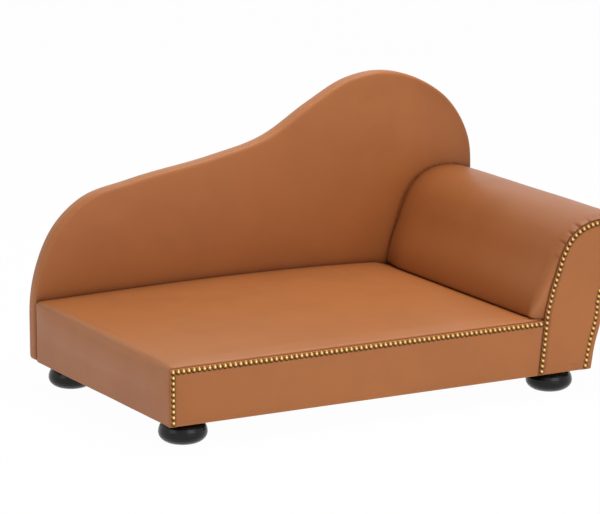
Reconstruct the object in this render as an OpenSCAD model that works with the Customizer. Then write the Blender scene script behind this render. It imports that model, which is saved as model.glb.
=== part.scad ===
// Dog sofa bed: a low chaise for a small dog, with a swept back and one scroll arm.
// Millimetres. X runs along the length, Y from the front to the back and Z up.
// The origin lies on the floor, under the middle of the whole sofa.

/* [Seat] */
// Length of the seat box at its underside, from the open end to the arm
seat_l = 727; // [560:1:900]
// Depth of the seat box, from its front face to the back
seat_d = 532; // [400:1:640]
// Height of the seat's front edge above the underside of the box
seat_h = 102; // [90:0.5:130]
// How much higher the seat stands at the back than at its front edge
seat_rise = 9.5; // [0:0.5:12]
// Crown of the seat along its rear edge
seat_crown = 7.5; // [2:0.5:20]
// Radius of the soft edge at the open end
seat_roll = 8; // [7:1:15]
// Radius of the soft edge at the arm
joint_roll = 7; // [7:1:12]
// Radius of the firm front edge
front_roll = 4; // [4:0.5:5]

/* [Back] */
// How far the back reaches past the end of the seat box, behind the arm
back_reach = 199.5; // [170:0.5:200]
// How far the back stands out past the open end
back_out = 1; // [0:0.5:3]
// Height of the back at its crest
back_h = 477.5; // [380:0.5:560]
// Gap between the underside of the box and the lower edge of the back
back_lift = 0; // [0:0.5:6]
// Thickness of the padding on the face of the back
back_pad = 10; // [8:0.5:16]
// Radius of the padded edge round the face of the back
back_roll = 8; // [6:0.5:9]
// Radius of the edge round the rear of the back
rear_roll = 5; // [4.6:0.1:6]

/* [Arm] */
// Reach of the arm from the end of the seat box to the outside of its scroll
arm_w = 238; // [200:1:280]
// Height of the arm above the underside of the box, at the back
arm_h = 288.5; // [250:0.5:330]
// How much lower the arm is at the front than at the back
arm_fall = 14; // [0:1:20]
// Lean of the joint between the seat box and the arm, in degrees
arm_lean = 6; // [3:0.5:8]
// Thickness of the padding on the arm
arm_pad = 7; // [5:0.5:9]
// Depth of the rolled edge at each end of the arm
arm_roll = 28; // [18:1:32]
// How far the front panel's edge is drawn in from the side of the arm
facing_inset = 6; // [5:0.5:9]
// Thickness of the covered front panel
facing_t = 4; // [3:0.5:5]

/* [Feet] */
// Widest diameter of a bun foot
foot_d = 83; // [60:1:90]
// Height of a foot
foot_h = 41; // [25:1:60]
// Distance of a foot's centre from the front face, the open end and the rear rail's face
foot_in = 47; // [44:1:60]

/* [Nail trim] */
// Diameter of a nail's domed head
nail_d = 9.4; // [7:0.1:9.6]
// Distance from one nail to the next
nail_pitch = 9.7; // [9.7:0.1:20]
// Height of the dome
nail_h = 2.6; // [1.5:0.1:3]
// Distance of the nails' centres from the edge that they follow
nail_in = 6; // [6:0.1:8]
// Length of a nail's shank
nail_shank_l = 13; // [10:1:16]
// Diameter of a nail's shank
nail_shank_d = 1.6; // [1:0.1:1.8]

/* [Frame] */
// Thickness of the rails
rail_t = 18; // [15:1:20]
// Height of the side, rear and middle rails
rail_h = 76.5; // [60:0.5:77]
// Height of the rail that joins the arm to the seat box
arm_rail_h = 52; // [50:1:56]
// Thickness of the panel under the seat's padding
deck_t = 4; // [3:0.5:5]
// Thickness of the back's board
back_board_t = 15; // [12:1:18]
// Thickness of the two shaped boards in the arm
former_t = 15; // [12:1:18]
// Thickness of the bent and flat panels on the arm
panel_t = 3; // [2:0.5:3]
// Width of the wooden bars in the arm
bar_w = 16; // [12:1:20]
// Height of the blocks that take the left feet
block_h = 30; // [25:1:40]

/* [Upholstery] */
// Thickness of the covering
hide_t = 1.2; // [0.8:0.1:1.4]
// Width of the covering that is turned under the box
hem_w = 18; // [12:1:25]
// How far the seat's covering is turned onto the front face
tuck = 5; // [4.5:0.1:5.5]
// Width of the covering that is turned behind
rear_tuck = 5.5; // [4.5:0.5:6]
// Width of the covering that is turned onto the rear of the back
back_tuck = 25; // [15:1:30]

/* [Bolts] */
// Diameter of the bolts and studs
bolt_d = 8; // [6:1:8]
// Width of a bolt head across its flats
head_af = 13; // [10:1:13]
// Height of a bolt head
head_h = 5.3; // [4:0.1:6]
// Diameter of a washer
washer_d = 20; // [16:1:24]
// Thickness of a washer
washer_t = 1.6; // [1:0.1:2]
// Diameter of a T-nut's flange
flange_d = 22; // [18:1:24]
// Thickness of a T-nut's flange
flange_t = 1.5; // [1:0.1:2]
// Outer diameter of a T-nut's barrel
barrel_d = 10; // [9.5:0.1:11]
// Length of a T-nut's barrel
barrel_l = 9; // [7:1:11]
// Clearance round a bolt in the wood
bolt_play = 0.4; // [0.2:0.1:0.6]

/* [Hidden] */

// Clearance between neighbouring pieces
gap = 0.3;
// Clearance where one piece lies flat against another
snug = gap / 3;
// Overrun of every cut
over = 1;
$fn = 48;

// Colours
hide_tan = "peru";
timber = "burlywood";
board_grey = "tan";
foam_cream = "cornsilk";
steel = "silver";
brass = "goldenrod";
foot_black = "dimgray";
lining_black = "black";

// Steps in one stretch of a curve, round a rolled edge and along the seat
curve_steps = 3;
roll_steps = 4;
joint_steps = 3;
seat_cols = 12;
seat_rows = 8;

// Depth of the skin, with its clearance, below the surface
skin = hide_t + gap;
// Front face of the front rail, behind the band and its padding
rail_y = hide_t + hide_t + 2 * gap;
rail_back_y = rail_y + rail_t;
// Front face of the seat's covering, above the band
cover_y = skin;
// Rear face of the seat box and of the arm
box_rear_y = seat_d - gap;
rear_rail_y = box_rear_y - skin - rail_t;
// Heights in the seat box
rail_z = skin;
rail_top_z = rail_z + rail_h;
deck_top_z = rail_top_z + deck_t;

// X of the joint between the seat box and the arm at a height
function joint_x(z) = seat_l + z * tan(arm_lean);
// Inner end of the arm's frame, and the face of the seat box that it is bolted to
arm_rail_z = skin;
arm_rail_x = joint_x(arm_rail_z + arm_rail_h) + gap;
right_rail_x = arm_rail_x - gap - rail_t;
// Height at which the arm's covering starts, hidden behind the seat
arm_start_z = arm_rail_z + arm_rail_h + gap;

// Faces of the back
back_y = seat_d;
back_board_y = back_y + skin + back_pad + gap;
back_rear_y = back_board_y + back_board_t + skin;
rear_panel_t = hide_t;
// Room for the padding that is turned round the edge of the back's board
edge_room = 2.1;
back_board_inset = skin + edge_room;
back_l = back_out + seat_l + back_reach;

// Faces of the arm's boards
strip_y = facing_t + snug;
front_former_y = strip_y + skin;
rear_former_y = box_rear_y - skin - former_t;
// Depth of the flat panel outside the arm
outer_depth = skin + panel_t + gap;

// Depth of the rolled edge's rim, beside the facing's edge
rim_inset = facing_inset - snug;
// Width of the covering that is turned under the facing, up to the nails
facing_tuck = nail_in - over;

// Width of the arm at the underside
arm_base_share = 0.454;
arm_base_w = arm_w * arm_base_share;

// The whole sofa, for its origin
sofa_left_x = -back_out;
sofa_right_x = seat_l + arm_w;
sofa_front_y = -nail_h;
sofa_rear_y = back_rear_y + rear_panel_t;

// Outline of the back, from the left side over the crest to the right side, in shares of its size
back_knot_shares = [
    [0, 0.1765], [0.0165, 0.3661], [0.0556, 0.5108], [0.1101, 0.5996], [0.2138, 0.6545], [0.3991, 0.7202],
    [0.5085, 0.7745], [0.619, 0.8974], [0.7034, 0.9784], [0.7899, 1], [0.8844, 0.9462], [0.9452, 0.8632],
    [0.9791, 0.7728], [0.9948, 0.6968], [1, 0.5941]
];
// Section of the arm over the scroll and into the cove, in shares of its reach and its height above the seat
arm_knot_shares = [
    [0.0504, 0.0912], [0.0609, 0.2273], [0.1176, 0.4671], [0.1798, 0.6895], [0.2483, 0.8328],
    [0.3618, 0.9437], [0.584, 1], [0.819, 0.933], [0.958, 0.7915], [1, 0.5946],
    [0.941, 0.4054], [0.803, 0.2975], [0.664, 0.2547], [0.584, 0.1852]
];
// Outside of the arm below its cove, down to the underside, in shares of its reach and the seat's height
arm_outer_shares = [[0.536, 0.807], [0.487, 0.4271], [arm_base_share, 0]];
// Directions of the section in its cove, just below it and at the underside
cove_heading = [-1, -1.6];
outside_heading = [-0.3, -1];
base_heading = [-0.18, -1];
// Places of the bars in the arm, as shares of the way from the seat to the cove
stringer_shares = [0.22, 0.47, 0.78];
// Places of the bolts along the seat, along the arm and up the back
back_bolt_shares = [0.14, 0.38, 0.62, 0.86];
arm_bolt_shares = [0.28, 0.72];
bolt_height_share = 0.45;
// Radii and heights of a foot's outline, as shares of its widest radius and its height
foot_top_share = 0.54;
foot_bottom_share = 0.35;
foot_belly_share = 0.535;
// Angles of the points round a foot's outline, from near its top to its flat underside
foot_angles = [75 : -15 : -90];
// Share of the seat's length at which its crown is highest
crown_share = 0.575;

// Smooth curves
function unit(v) = v / norm(v);
function hermite(a, b, ma, mb, t) =
    (2 * t ^ 3 - 3 * t ^ 2 + 1) * a + (t ^ 3 - 2 * t ^ 2 + t) * ma
    + (3 * t ^ 2 - 2 * t ^ 3) * b + (t ^ 3 - t ^ 2) * mb;
// Direction at a knot, from the chords on both its sides
function heading(k, i, first, last) =
    i == 0 ? first : i == len(k) - 1 ? last :
    let (before = k[i] - k[i - 1], after = k[i + 1] - k[i])
    unit(unit(before) * norm(after) + unit(after) * norm(before));
function smooth(k, first, last) = [
    for (i = [0 : len(k) - 2], s = [0 : curve_steps - 1])
        let (d = norm(k[i + 1] - k[i]))
        hermite(k[i], k[i + 1], heading(k, i, first, last) * d, heading(k, i + 1, first, last) * d,
                s / curve_steps),
    k[len(k) - 1]
];
function scaled(shares, w, h) = [for (s = shares) [s.x * w, s.y * h]];
function moved(path, by) = [for (p = path) p + by];

// Outlines run up the left side, over the top and down the right side, with the inside to their right
function right_of(a, b) = let (d = unit(b - a)) [d.y, -d.x];
function mitre(p, i, closed) =
    let (n = len(p),
         before = i == 0 && !closed ? right_of(p[0], p[1]) : right_of(p[(i - 1 + n) % n], p[i]),
         after = i == n - 1 && !closed ? before : right_of(p[i], p[(i + 1) % n]),
         m = unit(before + after))
    m / (m * before);
function depth(d, i) = is_list(d) ? d[i] : d;
function inset(p, d, closed = false) = [for (i = [0 : len(p) - 1]) p[i] + mitre(p, i, closed) * depth(d, i)];
// The same path with both its ends at one height
function grounded(p, z) = [for (i = [0 : len(p) - 1]) i == 0 || i == len(p) - 1 ? [p[i].x, z] : p[i]];
function part_of(p, first, last) = [for (i = [first : last]) p[i]];
function length_to(p, i) = i == 0 ? 0 : length_to(p, i - 1) + norm(p[i] - p[i - 1]);
// Point at a distance along a path
function along(p, s, i = 1) =
    let (d = norm(p[i] - p[i - 1]))
    s <= d || i == len(p) - 1 ? p[i - 1] + (p[i] - p[i - 1]) * s / d : along(p, s - d, i + 1);

// Rings of points across the depth, and the solids between them
function ring(path, y) = [for (q = path) [q.x, y, q.y]];
function cell(a, b, c, d) = [[a, b, c], [a, c, d]];

// Solid through closed rings, from the front to the rear
module loft(r) {
    n = len(r[0]);
    last = len(r) - 1;
    sides = [
        for (j = [0 : last - 1], i = [0 : n - 1])
            let (k = (i + 1) % n)
            each cell(j * n + i, (j + 1) * n + i, (j + 1) * n + k, j * n + k)
    ];
    caps = [[for (i = [0 : n - 1]) i], [for (i = [n - 1 : -1 : 0]) last * n + i]];
    polyhedron([for (a = r) each a], concat(sides, caps));
}

// Sheet between an outer and an inner surface, each a list of open rings from the front to the rear
module sheet(p, q) {
    m = len(p);
    n = len(p[0]);
    all = m * n;
    outer = [for (j = [0 : m - 2], i = [0 : n - 2])
        each cell(j * n + i, (j + 1) * n + i, (j + 1) * n + i + 1, j * n + i + 1)];
    inner = [for (f = outer) [f[2] + all, f[1] + all, f[0] + all]];
    front = [for (i = [0 : n - 2]) each cell(i, i + 1, all + i + 1, all + i)];
    rear = [for (i = [0 : n - 2]) let (a = (m - 1) * n + i) each cell(a + 1, a, all + a, all + a + 1)];
    first = [for (j = [0 : m - 2]) let (a = j * n) each cell(a + n, a, all + a, all + a + n)];
    last = [for (j = [0 : m - 2]) let (a = j * n + n - 1) each cell(a, a + n, all + a + n, all + a)];
    polyhedron(
        concat([for (a = p) each a], [for (a = q) each a]),
        concat(outer, inner, front, rear, first, last)
    );
}

// A flat plate whose outline lies in X and Z, from one Y to another
module plate(outline, y, t) {
    translate([0, y + t, 0])
        rotate([90, 0, 0])
            linear_extrude(t) difference() {
                polygon(outline);
                children();
            }
}

// The whole sofa stands on the floor with its middle over the origin
module placed() {
    translate([-(sofa_left_x + sofa_right_x) / 2, -(sofa_front_y + sofa_rear_y) / 2, foot_h]) children();
}

// Seat
crown_power = ln(0.5) / ln(crown_share);
function cross_bow(x) = 1 - (2 * (x / joint_x(seat_h)) ^ crown_power - 1) ^ 2;
function seat_top(x, y) =
    seat_h + seat_rise * y / seat_d + seat_crown * cross_bow(x) * (1 - (1 - y / seat_d) ^ 2);
// From a foot of the open end's side over the seat and down the joint to a foot at the arm
function seat_path(y, left_feet, right_z) =
    let (last = joint_x(seat_h) - gap - joint_roll, last_z = seat_top(last, y))
    concat(
        left_feet,
        [for (k = [0 : roll_steps])
            let (a = 90 * k / roll_steps)
            [seat_roll * (1 - cos(a)), seat_top(seat_roll, y) - seat_roll * (1 - sin(a))]],
        [for (i = [1 : seat_cols])
            let (x = seat_roll + (last - seat_roll) * i / seat_cols)
            [x, seat_top(x, y)]],
        [for (k = [1 : joint_steps])
            let (a = (90 - arm_lean) * k / joint_steps)
            [last + joint_roll * sin(a), last_z - joint_roll * (1 - cos(a))]],
        [[joint_x(right_z) - gap, right_z]]
    );
// Depths at which the covering runs, from the front edge to behind the rear, a thickness below the surface
function seat_stations(t) = concat(
    [[cover_y + t, tuck]],
    [for (k = [roll_steps : -1 : 0])
        let (a = 90 * k / roll_steps, r = front_roll - t)
        [cover_y + front_roll - r * sin(a), front_roll - r * cos(a)]],
    [for (j = [1 : seat_rows])
        [cover_y + front_roll + (box_rear_y - t - cover_y - front_roll) * j / seat_rows, t]],
    [[box_rear_y - t, rear_tuck]]
);
function seat_cover_rings(t) = [
    for (s = seat_stations(t))
        ring(inset(seat_path(s.x, [[hem_w, 0], [0, 0]], deck_top_z), s.y), s.x)
];

// Wood of the seat box
function front_rail_outline() =
    let (top = inset(seat_path(0, [[0, rail_z]], rail_z), skin))
    grounded([for (p = top) [p.x, min(p.y, seat_h - skin)]], rail_z);
band_top_z = seat_h - tuck + over;
nail_row_z = band_top_z - nail_in;

module front_rail() {
    chamfer = front_roll - skin;
    color(timber) placed() intersection() {
        plate(front_rail_outline(), rail_y, rail_t) nail_points(seat_nail_places()) circle(d = nail_shank_d);
        rotate([90, 0, 90])
            linear_extrude(sofa_right_x)
                polygon([
                    [rail_y, rail_z], [rail_y, seat_h - skin - chamfer], [rail_y + chamfer, seat_h - skin],
                    [rail_back_y, seat_h - skin], [rail_back_y, rail_z]
                ]);
    }
}

module cross_rail(x, y0, y1, h = rail_h) {
    translate([x, y0, rail_z]) cube([rail_t, y1 - y0, h]);
}

bolt_z = rail_z + rail_h * bolt_height_share;
seat_bolt_places = [for (s = back_bolt_shares) [seat_l * s, bolt_z]];
arm_back_bolt_place = [seat_l + arm_base_w / 2, bolt_z];
back_bolt_places = concat(seat_bolt_places, [arm_back_bolt_place]);
arm_bolt_ys = [for (s = arm_bolt_shares) rail_back_y + (rear_rail_y - rail_back_y) * s];

module rear_rail() {
    color(timber) placed()
        plate([[skin, rail_z], [skin, rail_top_z], [seat_l - gap, rail_top_z], [seat_l - gap, rail_z]],
              rear_rail_y, rail_t)
            for (p = seat_bolt_places) translate(p) circle(d = bolt_d + bolt_play);
}

module left_rail() {
    color(timber) placed() cross_rail(skin, rail_back_y, rear_rail_y);
}

module right_rail() {
    color(timber) placed() difference() {
        cross_rail(right_rail_x, rail_back_y, rear_rail_y);
        for (y = arm_bolt_ys)
            translate([right_rail_x - over, y, bolt_z])
                rotate([0, 90, 0]) cylinder(h = rail_t + 2 * over, d = bolt_d + bolt_play);
    }
}

module centre_rail() {
    color(timber) placed() cross_rail((right_rail_x + skin) / 2, rail_back_y, rear_rail_y);
}

// Places of the feet
foot_left_x = foot_in;
foot_right_x = seat_l + arm_base_w / 2;
foot_front_y = foot_in;
foot_rear_y = rear_rail_y + rail_t - foot_in;
foot_places = [
    [foot_left_x, foot_front_y], [foot_right_x, foot_front_y],
    [foot_left_x, foot_rear_y], [foot_right_x, foot_rear_y]
];
block_w = 2 * (foot_in - rail_back_y);

module corner_blocks() {
    color(timber) placed()
        for (y = [foot_front_y, foot_rear_y])
            difference() {
                y0 = y == foot_front_y ? rail_back_y : y - block_w / 2;
                y1 = y == foot_front_y ? y + block_w / 2 : rear_rail_y;
                translate([skin + rail_t, y0, rail_z])
                    cube([foot_left_x + block_w / 2 - skin - rail_t, y1 - y0, block_h]);
                translate([foot_left_x, y, rail_z - over])
                    cylinder(h = block_h + 2 * over, d = barrel_d + gap);
            }
}

module seat_deck() {
    color(board_grey) placed()
        translate([skin, rail_back_y + gap, rail_top_z])
            cube([joint_x(rail_top_z) - 2 * gap - hide_t - skin, box_rear_y - skin - rail_back_y - gap, deck_t]);
}

module seat_foam() {
    y0 = rail_back_y + gap;
    y1 = box_rear_y - skin;
    color(foam_cream) placed()
        loft([for (j = [0 : seat_rows])
            let (y = y0 + (y1 - y0) * j / seat_rows)
            ring(inset(seat_path(y, [[0, deck_top_z]], deck_top_z), skin), y)]);
}

module seat_cover() {
    color(hide_tan) placed() sheet(seat_cover_rings(0), seat_cover_rings(hide_t));
}

module dust_cover() {
    color(lining_black) placed()
        linear_extrude(hide_t) difference() {
            translate([hem_w + gap, hem_w + gap])
                square([seat_l + arm_base_w - 2 * (hem_w + gap), box_rear_y - rear_tuck - hem_w - gap]);
            for (p = foot_places) translate(p) circle(d = bolt_d + bolt_play);
        }
}

// Nails
module nail() {
    r = (nail_d ^ 2 / 4 + nail_h ^ 2) / (2 * nail_h);
    rotate([90, 0, 0]) {
        rotate_extrude() intersection() {
            translate([0, nail_h - r]) circle(r = r, $fn = 96);
            square([nail_d / 2, nail_h]);
        }
        translate([0, 0, -nail_shank_l]) cylinder(h = nail_shank_l + nail_h / 2, d = nail_shank_d);
    }
}

module nail_points(places) {
    for (p = places) translate(p) children();
}

// Evenly spaced places along a path, as near the pitch as its length allows
function spaced(path) =
    let (l = length_to(path, len(path) - 1), n = round(l / nail_pitch))
    [for (k = [0 : n]) along(path, l * k / n)];

function seat_nail_places() = concat(
    spaced([[nail_in, nail_row_z], [joint_x(nail_row_z) - nail_in, nail_row_z]]),
    let (column = spaced([[nail_in, nail_row_z], [nail_in, nail_in]]))
    part_of(column, 1, len(column) - 1)
);

function band_outline(left, bottom, top, right_gap) = [
    [left, bottom], [left, top], [joint_x(top) - right_gap, top], [joint_x(bottom) - right_gap, bottom]
];

module front_padding() {
    color(foam_cream) placed()
        plate(band_outline(nail_in + nail_shank_d, skin, seat_h - tuck - gap, tuck + 2 * gap),
              hide_t + gap / 2, hide_t + gap)
            nail_points(seat_nail_places()) circle(d = nail_shank_d);
}

module front_band() {
    color(hide_tan) placed() union() {
        plate(band_outline(0, 0, band_top_z, gap), 0, hide_t)
            nail_points(seat_nail_places()) circle(d = nail_shank_d);
        cube([joint_x(0) - gap, hem_w, hide_t]);
    }
}

module seat_nails() {
    color(brass) placed()
        for (p = seat_nail_places()) translate([p.x, 0, p.y]) nail();
}

// Back
function back_outline() =
    let (bottom = [[back_l, 0], [0, 0]])
    moved(concat(smooth(scaled(back_knot_shares, back_l, back_h), [0, 1], [0, -1]), bottom), [-back_out, back_lift]);

// Depths of the covering, from the middle of the face round the edge and onto the rear
function back_stations(t) = concat(
    [for (k = [roll_steps : -1 : 0])
        let (a = 90 * k / roll_steps, r = back_roll - t)
        [back_y + back_roll - r * sin(a), back_roll - r * cos(a)]],
    [for (k = [0 : roll_steps / 2])
        let (a = 180 * k / roll_steps, r = rear_roll - t)
        [back_rear_y - rear_roll + r * sin(a), rear_roll - r * cos(a)]],
    [[back_rear_y - t, back_tuck]]
);
function back_rings(stations) = [for (s = stations) ring(inset(back_outline(), s.y, true), s.x)];

module bolt_holes(places, y, l, d = bolt_d + bolt_play) {
    for (p = places)
        translate([p.x, y, p.y]) rotate([-90, 0, 0]) cylinder(h = l, d = d);
}

module back_board() {
    color(timber) placed() difference() {
        plate(inset(back_outline(), back_board_inset, true), back_board_y, back_board_t)
            for (p = back_bolt_places) translate(p) circle(d = barrel_d + gap);
        bolt_holes(back_bolt_places, back_board_y + back_board_t - flange_t - gap, flange_t + gap + over,
                   flange_d + gap);
    }
}

module back_foam() {
    // The padding thins out under the rolled edge, just clear of the covering
    outer = [for (s = back_stations(skin)) if (s.x <= back_y + back_roll) s];
    color(foam_cream) placed() difference() {
        loft(back_rings(concat(outer, [[back_board_y - gap, skin]])));
        bolt_holes(back_bolt_places, back_y, back_board_y - back_y);
    }
}

module back_cover() {
    outer = back_rings(back_stations(0));
    inner = back_rings(back_stations(hide_t));
    n = len(outer);
    color(hide_tan) placed() difference() {
        loft(concat(outer, [for (j = [n - 1 : -1 : 0]) inner[j]]));
        bolt_holes(back_bolt_places, back_y - over, hide_t + 2 * over);
    }
}

module back_rear_panel() {
    color(hide_tan) placed() plate(inset(back_outline(), rear_roll + nail_in, true), back_rear_y, rear_panel_t);
}

// Hexagon bolt along +Z, its head below the origin
module bolt(l) {
    translate([0, 0, -head_h]) cylinder(h = head_h, d = head_af / cos(30), $fn = 6);
    cylinder(h = l, d = bolt_d);
}
module washer() {
    difference() {
        cylinder(h = washer_t, d = washer_d);
        translate([0, 0, -over]) cylinder(h = washer_t + 2 * over, d = bolt_d + bolt_play);
    }
}
// T-nut along -Z, its flange above the origin
module t_nut() {
    difference() {
        union() {
            cylinder(h = flange_t, d = flange_d);
            translate([0, 0, -barrel_l]) cylinder(h = barrel_l + over / 2, d = barrel_d);
        }
        translate([0, 0, -barrel_l - over])
            cylinder(h = barrel_l + flange_t + 2 * over, d = bolt_d + bolt_play / 2);
    }
}

back_bolt_head_y = rear_rail_y - washer_t;
back_nut_y = back_board_y + back_board_t - flange_t;

module at_back_bolts(y) {
    for (p = back_bolt_places) translate([p.x, y, p.y]) rotate([-90, 0, 0]) children();
}
module back_bolts() {
    color(steel) placed() at_back_bolts(back_bolt_head_y) bolt(back_nut_y + flange_t - back_bolt_head_y);
}
module back_washers() {
    color(steel) placed() at_back_bolts(back_bolt_head_y) washer();
}
module back_t_nuts() {
    color(steel) placed() at_back_bolts(back_nut_y) t_nut();
}

// Arm
// The full section at the rear: up the joint, over the scroll, into the cove and down outside
function arm_outline_rear() =
    let (lean = [sin(arm_lean), cos(arm_lean)],
         start = [for (z = [arm_start_z, (arm_start_z + seat_h) / 2, seat_h]) [joint_x(z) + gap, z]],
         over_top = concat([start[2]], moved(scaled(arm_knot_shares, arm_w, arm_h - seat_h), [seat_l, seat_h])),
         cove = over_top[len(over_top) - 1],
         outside = concat([cove], moved(scaled(arm_outer_shares, arm_w, seat_h), [seat_l, 0])))
    concat([start[0], start[1]],
           smooth(over_top, lean, unit(cove_heading)),
           part_of(smooth(outside, unit(outside_heading), unit(base_heading)), 1, (len(outside) - 1) * curve_steps));
arm_rear = arm_outline_rear();
cove_i = 2 + len(arm_knot_shares) * curve_steps;
arm_last_i = len(arm_rear) - 1;

// The same section at another depth: it falls towards the front
function arm_outline(y) =
    [for (p = arm_rear)
        [p.x, p.y - (p.y > seat_h ? arm_fall * (1 - y / seat_d) * (p.y - seat_h) / (arm_h - seat_h) : 0)]];

// How far the padding has grown at each point, from none at the seat to full above it
pad_start_share = 0.95;
pad_full_share = 1.5;
pad_least_share = 0.06;
// The outside of the arm, below its cove, has less of it
pad_outside_share = 0.4;
// Least share of the way forward beside the facing's edge
forward_least_share = 0.02;
function eased(t) = let (c = max(0, min(1, t))) c * c * (3 - 2 * c);
function arm_growth(i) =
    i > cove_i ? pad_outside_share + (1 - pad_outside_share) * eased(1 - (i - cove_i) / curve_steps)
    : i >= cove_i - curve_steps ? 1
    : max(pad_least_share, eased((arm_rear[i].y / seat_h - pad_start_share) / (pad_full_share - pad_start_share)));
growth = [for (i = [0 : arm_last_i]) arm_growth(i)];
// At the rear the padding is pressed in from the sides, and not from above
rear_growth = [for (i = [0 : arm_last_i]) growth[i] * abs(unit(mitre(arm_rear, i, false)).x)];
// Depth of the formers and of the facing's edge below the surface, point by point
former_depths = [for (i = [0 : arm_last_i]) i > cove_i ? outer_depth : skin + arm_pad * growth[i]];
facing_depths = [for (g = growth) facing_inset * g];

// Outline down to the underside of the arm, at one depth
function closed_arm(path, z) =
    concat([[path[0].x - (path[0].y - z) * tan(arm_lean), z]], grounded_last(path, z));
function grounded_last(p, z) = [for (i = [0 : len(p) - 1]) i == len(p) - 1 ? [p[i].x, z] : p[i]];

function former_outline(y) = closed_arm(inset(arm_outline(y), former_depths), rail_z);
function facing_outline() = closed_arm(inset(arm_outline(0), facing_depths), 0);
function arm_nail_places() = spaced(
    let (p = inset(facing_outline(), nail_in))
    concat([[p[0].x, nail_in]], [for (i = [1 : len(p) - 2]) p[i]], [[p[len(p) - 1].x, nail_in]])
);

arm_bolt_x = right_rail_x - washer_t;
arm_nut_x = arm_rail_x + rail_t;

module arm_front_former() {
    color(timber) placed()
        plate(former_outline(0), front_former_y, former_t)
            nail_points(arm_nail_places()) circle(d = nail_shank_d);
}

module arm_rear_former() {
    color(timber) placed()
        plate(former_outline(rear_former_y), rear_former_y, former_t)
            translate(arm_back_bolt_place) circle(d = bolt_d + bolt_play);
}

bars_y0 = front_former_y + former_t;
bars_y1 = rear_former_y;

module arm_base_board() {
    x0 = arm_rail_x + rail_t;
    x1 = seat_l + arm_base_w - outer_depth - gap;
    color(timber) placed() difference() {
        translate([x0, bars_y0, rail_z]) cube([x1 - x0, bars_y1 - bars_y0, rail_t]);
        for (i = [1, 3])
            translate([foot_places[i].x, foot_places[i].y, rail_z - over])
                cylinder(h = rail_t + 2 * over, d = barrel_d + gap);
    }
}

module arm_inner_rail() {
    color(timber) placed() difference() {
        translate([arm_rail_x, bars_y0, arm_rail_z]) cube([rail_t, bars_y1 - bars_y0, arm_rail_h]);
        for (y = arm_bolt_ys)
            translate([arm_rail_x - over, y, bolt_z])
                rotate([0, 90, 0]) cylinder(h = rail_t + 2 * over, d = barrel_d + gap);
    }
}

// A bar's end, square to the section at one of its points
function bar_ring(y, i) =
    let (path = arm_outline(y),
         inward = unit(mitre(path, i, false)),
         sideways = [inward.y, -inward.x] * bar_w / 2,
         top = path[i] + inward * (former_depths[i] + panel_t + 3 * gap))
    ring([top - sideways, top + sideways, top + sideways + inward * bar_w, top - sideways + inward * bar_w], y);

module arm_stringers() {
    color(timber) placed()
        for (s = stringer_shares)
            let (i = round(2 + (cove_i - 2) * s)) loft([bar_ring(bars_y0, i), bar_ring(bars_y1, i)]);
}

// Panels between the formers, flush with their edges
function panel_rings(first, last, extra) = [
    for (y = [bars_y0 + gap, bars_y1 - gap])
        ring(part_of(inset(arm_outline(y), [for (d = former_depths) d + extra]), first, last), y)
];

module arm_panel() {
    color(board_grey) placed() sheet(panel_rings(1, cove_i - 1, 0), panel_rings(1, cove_i - 1, panel_t));
}

module arm_outer_board() {
    first = cove_i + 2;
    rings_at = function (depth) [
        for (y = [arm_roll / 2, box_rear_y - arm_roll / 2])
            ring(grounded_last(part_of(inset(arm_outline(y), depth), first, arm_last_i), rail_z), y)
    ];
    color(board_grey) placed() sheet(rings_at(skin), rings_at(skin + panel_t));
}

// Stations of the arm's covering: the depth, how far it is drawn in and how far it is turned over there.
// They run from under the facing, past its edge and round the rolled edge to behind the rear.
function rolled(k, reach, rim, t) =
    let (a = 90 * k / roll_steps)
    [reach * sin(a), rim - (rim - t) * cos(a)];
function arm_stations(t) = concat(
    [[strip_y + t, rim_inset, facing_tuck], [strip_y + t, rim_inset - t, 0]],
    [for (k = [roll_steps : -1 : 0])
        let (e = rolled(k, arm_roll - gap - t, rim_inset - t, t)) [arm_roll - e.x, e.y, 0]],
    [for (k = [0 : roll_steps])
        let (e = rolled(k, arm_roll - t, rim_inset, t)) [box_rear_y - arm_roll + e.x, e.y, 0]],
    [[box_rear_y - t, rim_inset, rear_tuck]]
);
// Where the padding has not grown, the covering runs straight from behind the facing to the rear
function station_depths(s, t) =
    let (drawn = s.x < seat_d / 2 ? growth : rear_growth)
    [for (i = [0 : arm_last_i]) t + (s.y - t) * drawn[i] + s.z * growth[i]];
function station_y(s, t, i) =
    let (strip = strip_y + t)
    s.x < strip ? strip + (s.x - strip) * max(growth[i] ^ 3, forward_least_share) : s.x;
// Ring of the covering from one point of the section to another, with a hem of a width under the arm
function cover_ring(s, t, first, last, hem = 0) =
    let (section = arm_outline(s.x),
         depths = station_depths(s, t),
         path = part_of(section, first, last),
         edge = hem == 0 ? [] : [section[last] - [hem, 0]],
         inner = inset(concat(path, edge), concat(part_of(depths, first, last), [depths[last]])))
    [for (j = [0 : len(inner) - 1]) [inner[j].x, station_y(s, t, min(first + j, last)), inner[j].y]];

module arm_cover() {
    color(hide_tan) placed()
        sheet([for (s = arm_stations(0)) cover_ring(s, 0, 0, cove_i)],
              [for (s = arm_stations(hide_t)) cover_ring(s, hide_t, 0, cove_i)]);
}

module arm_outer_cover() {
    color(hide_tan) placed()
        sheet([for (s = arm_stations(0)) cover_ring(s, 0, cove_i, arm_last_i, hem_w)],
              [for (s = arm_stations(hide_t)) cover_ring(s, hide_t, cove_i, arm_last_i, hem_w)]);
}

// The panel that closes the rear of the arm, inside the edge that is turned over
module arm_rear_panel() {
    turned = station_depths([box_rear_y, rim_inset, rear_tuck], hide_t);
    color(hide_tan) placed()
        plate(closed_arm(inset(arm_outline(box_rear_y), [for (d = turned) d + gap]), rail_z),
              box_rear_y - hide_t, hide_t)
            translate(arm_back_bolt_place) circle(d = bolt_d + bolt_play);
}

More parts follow.
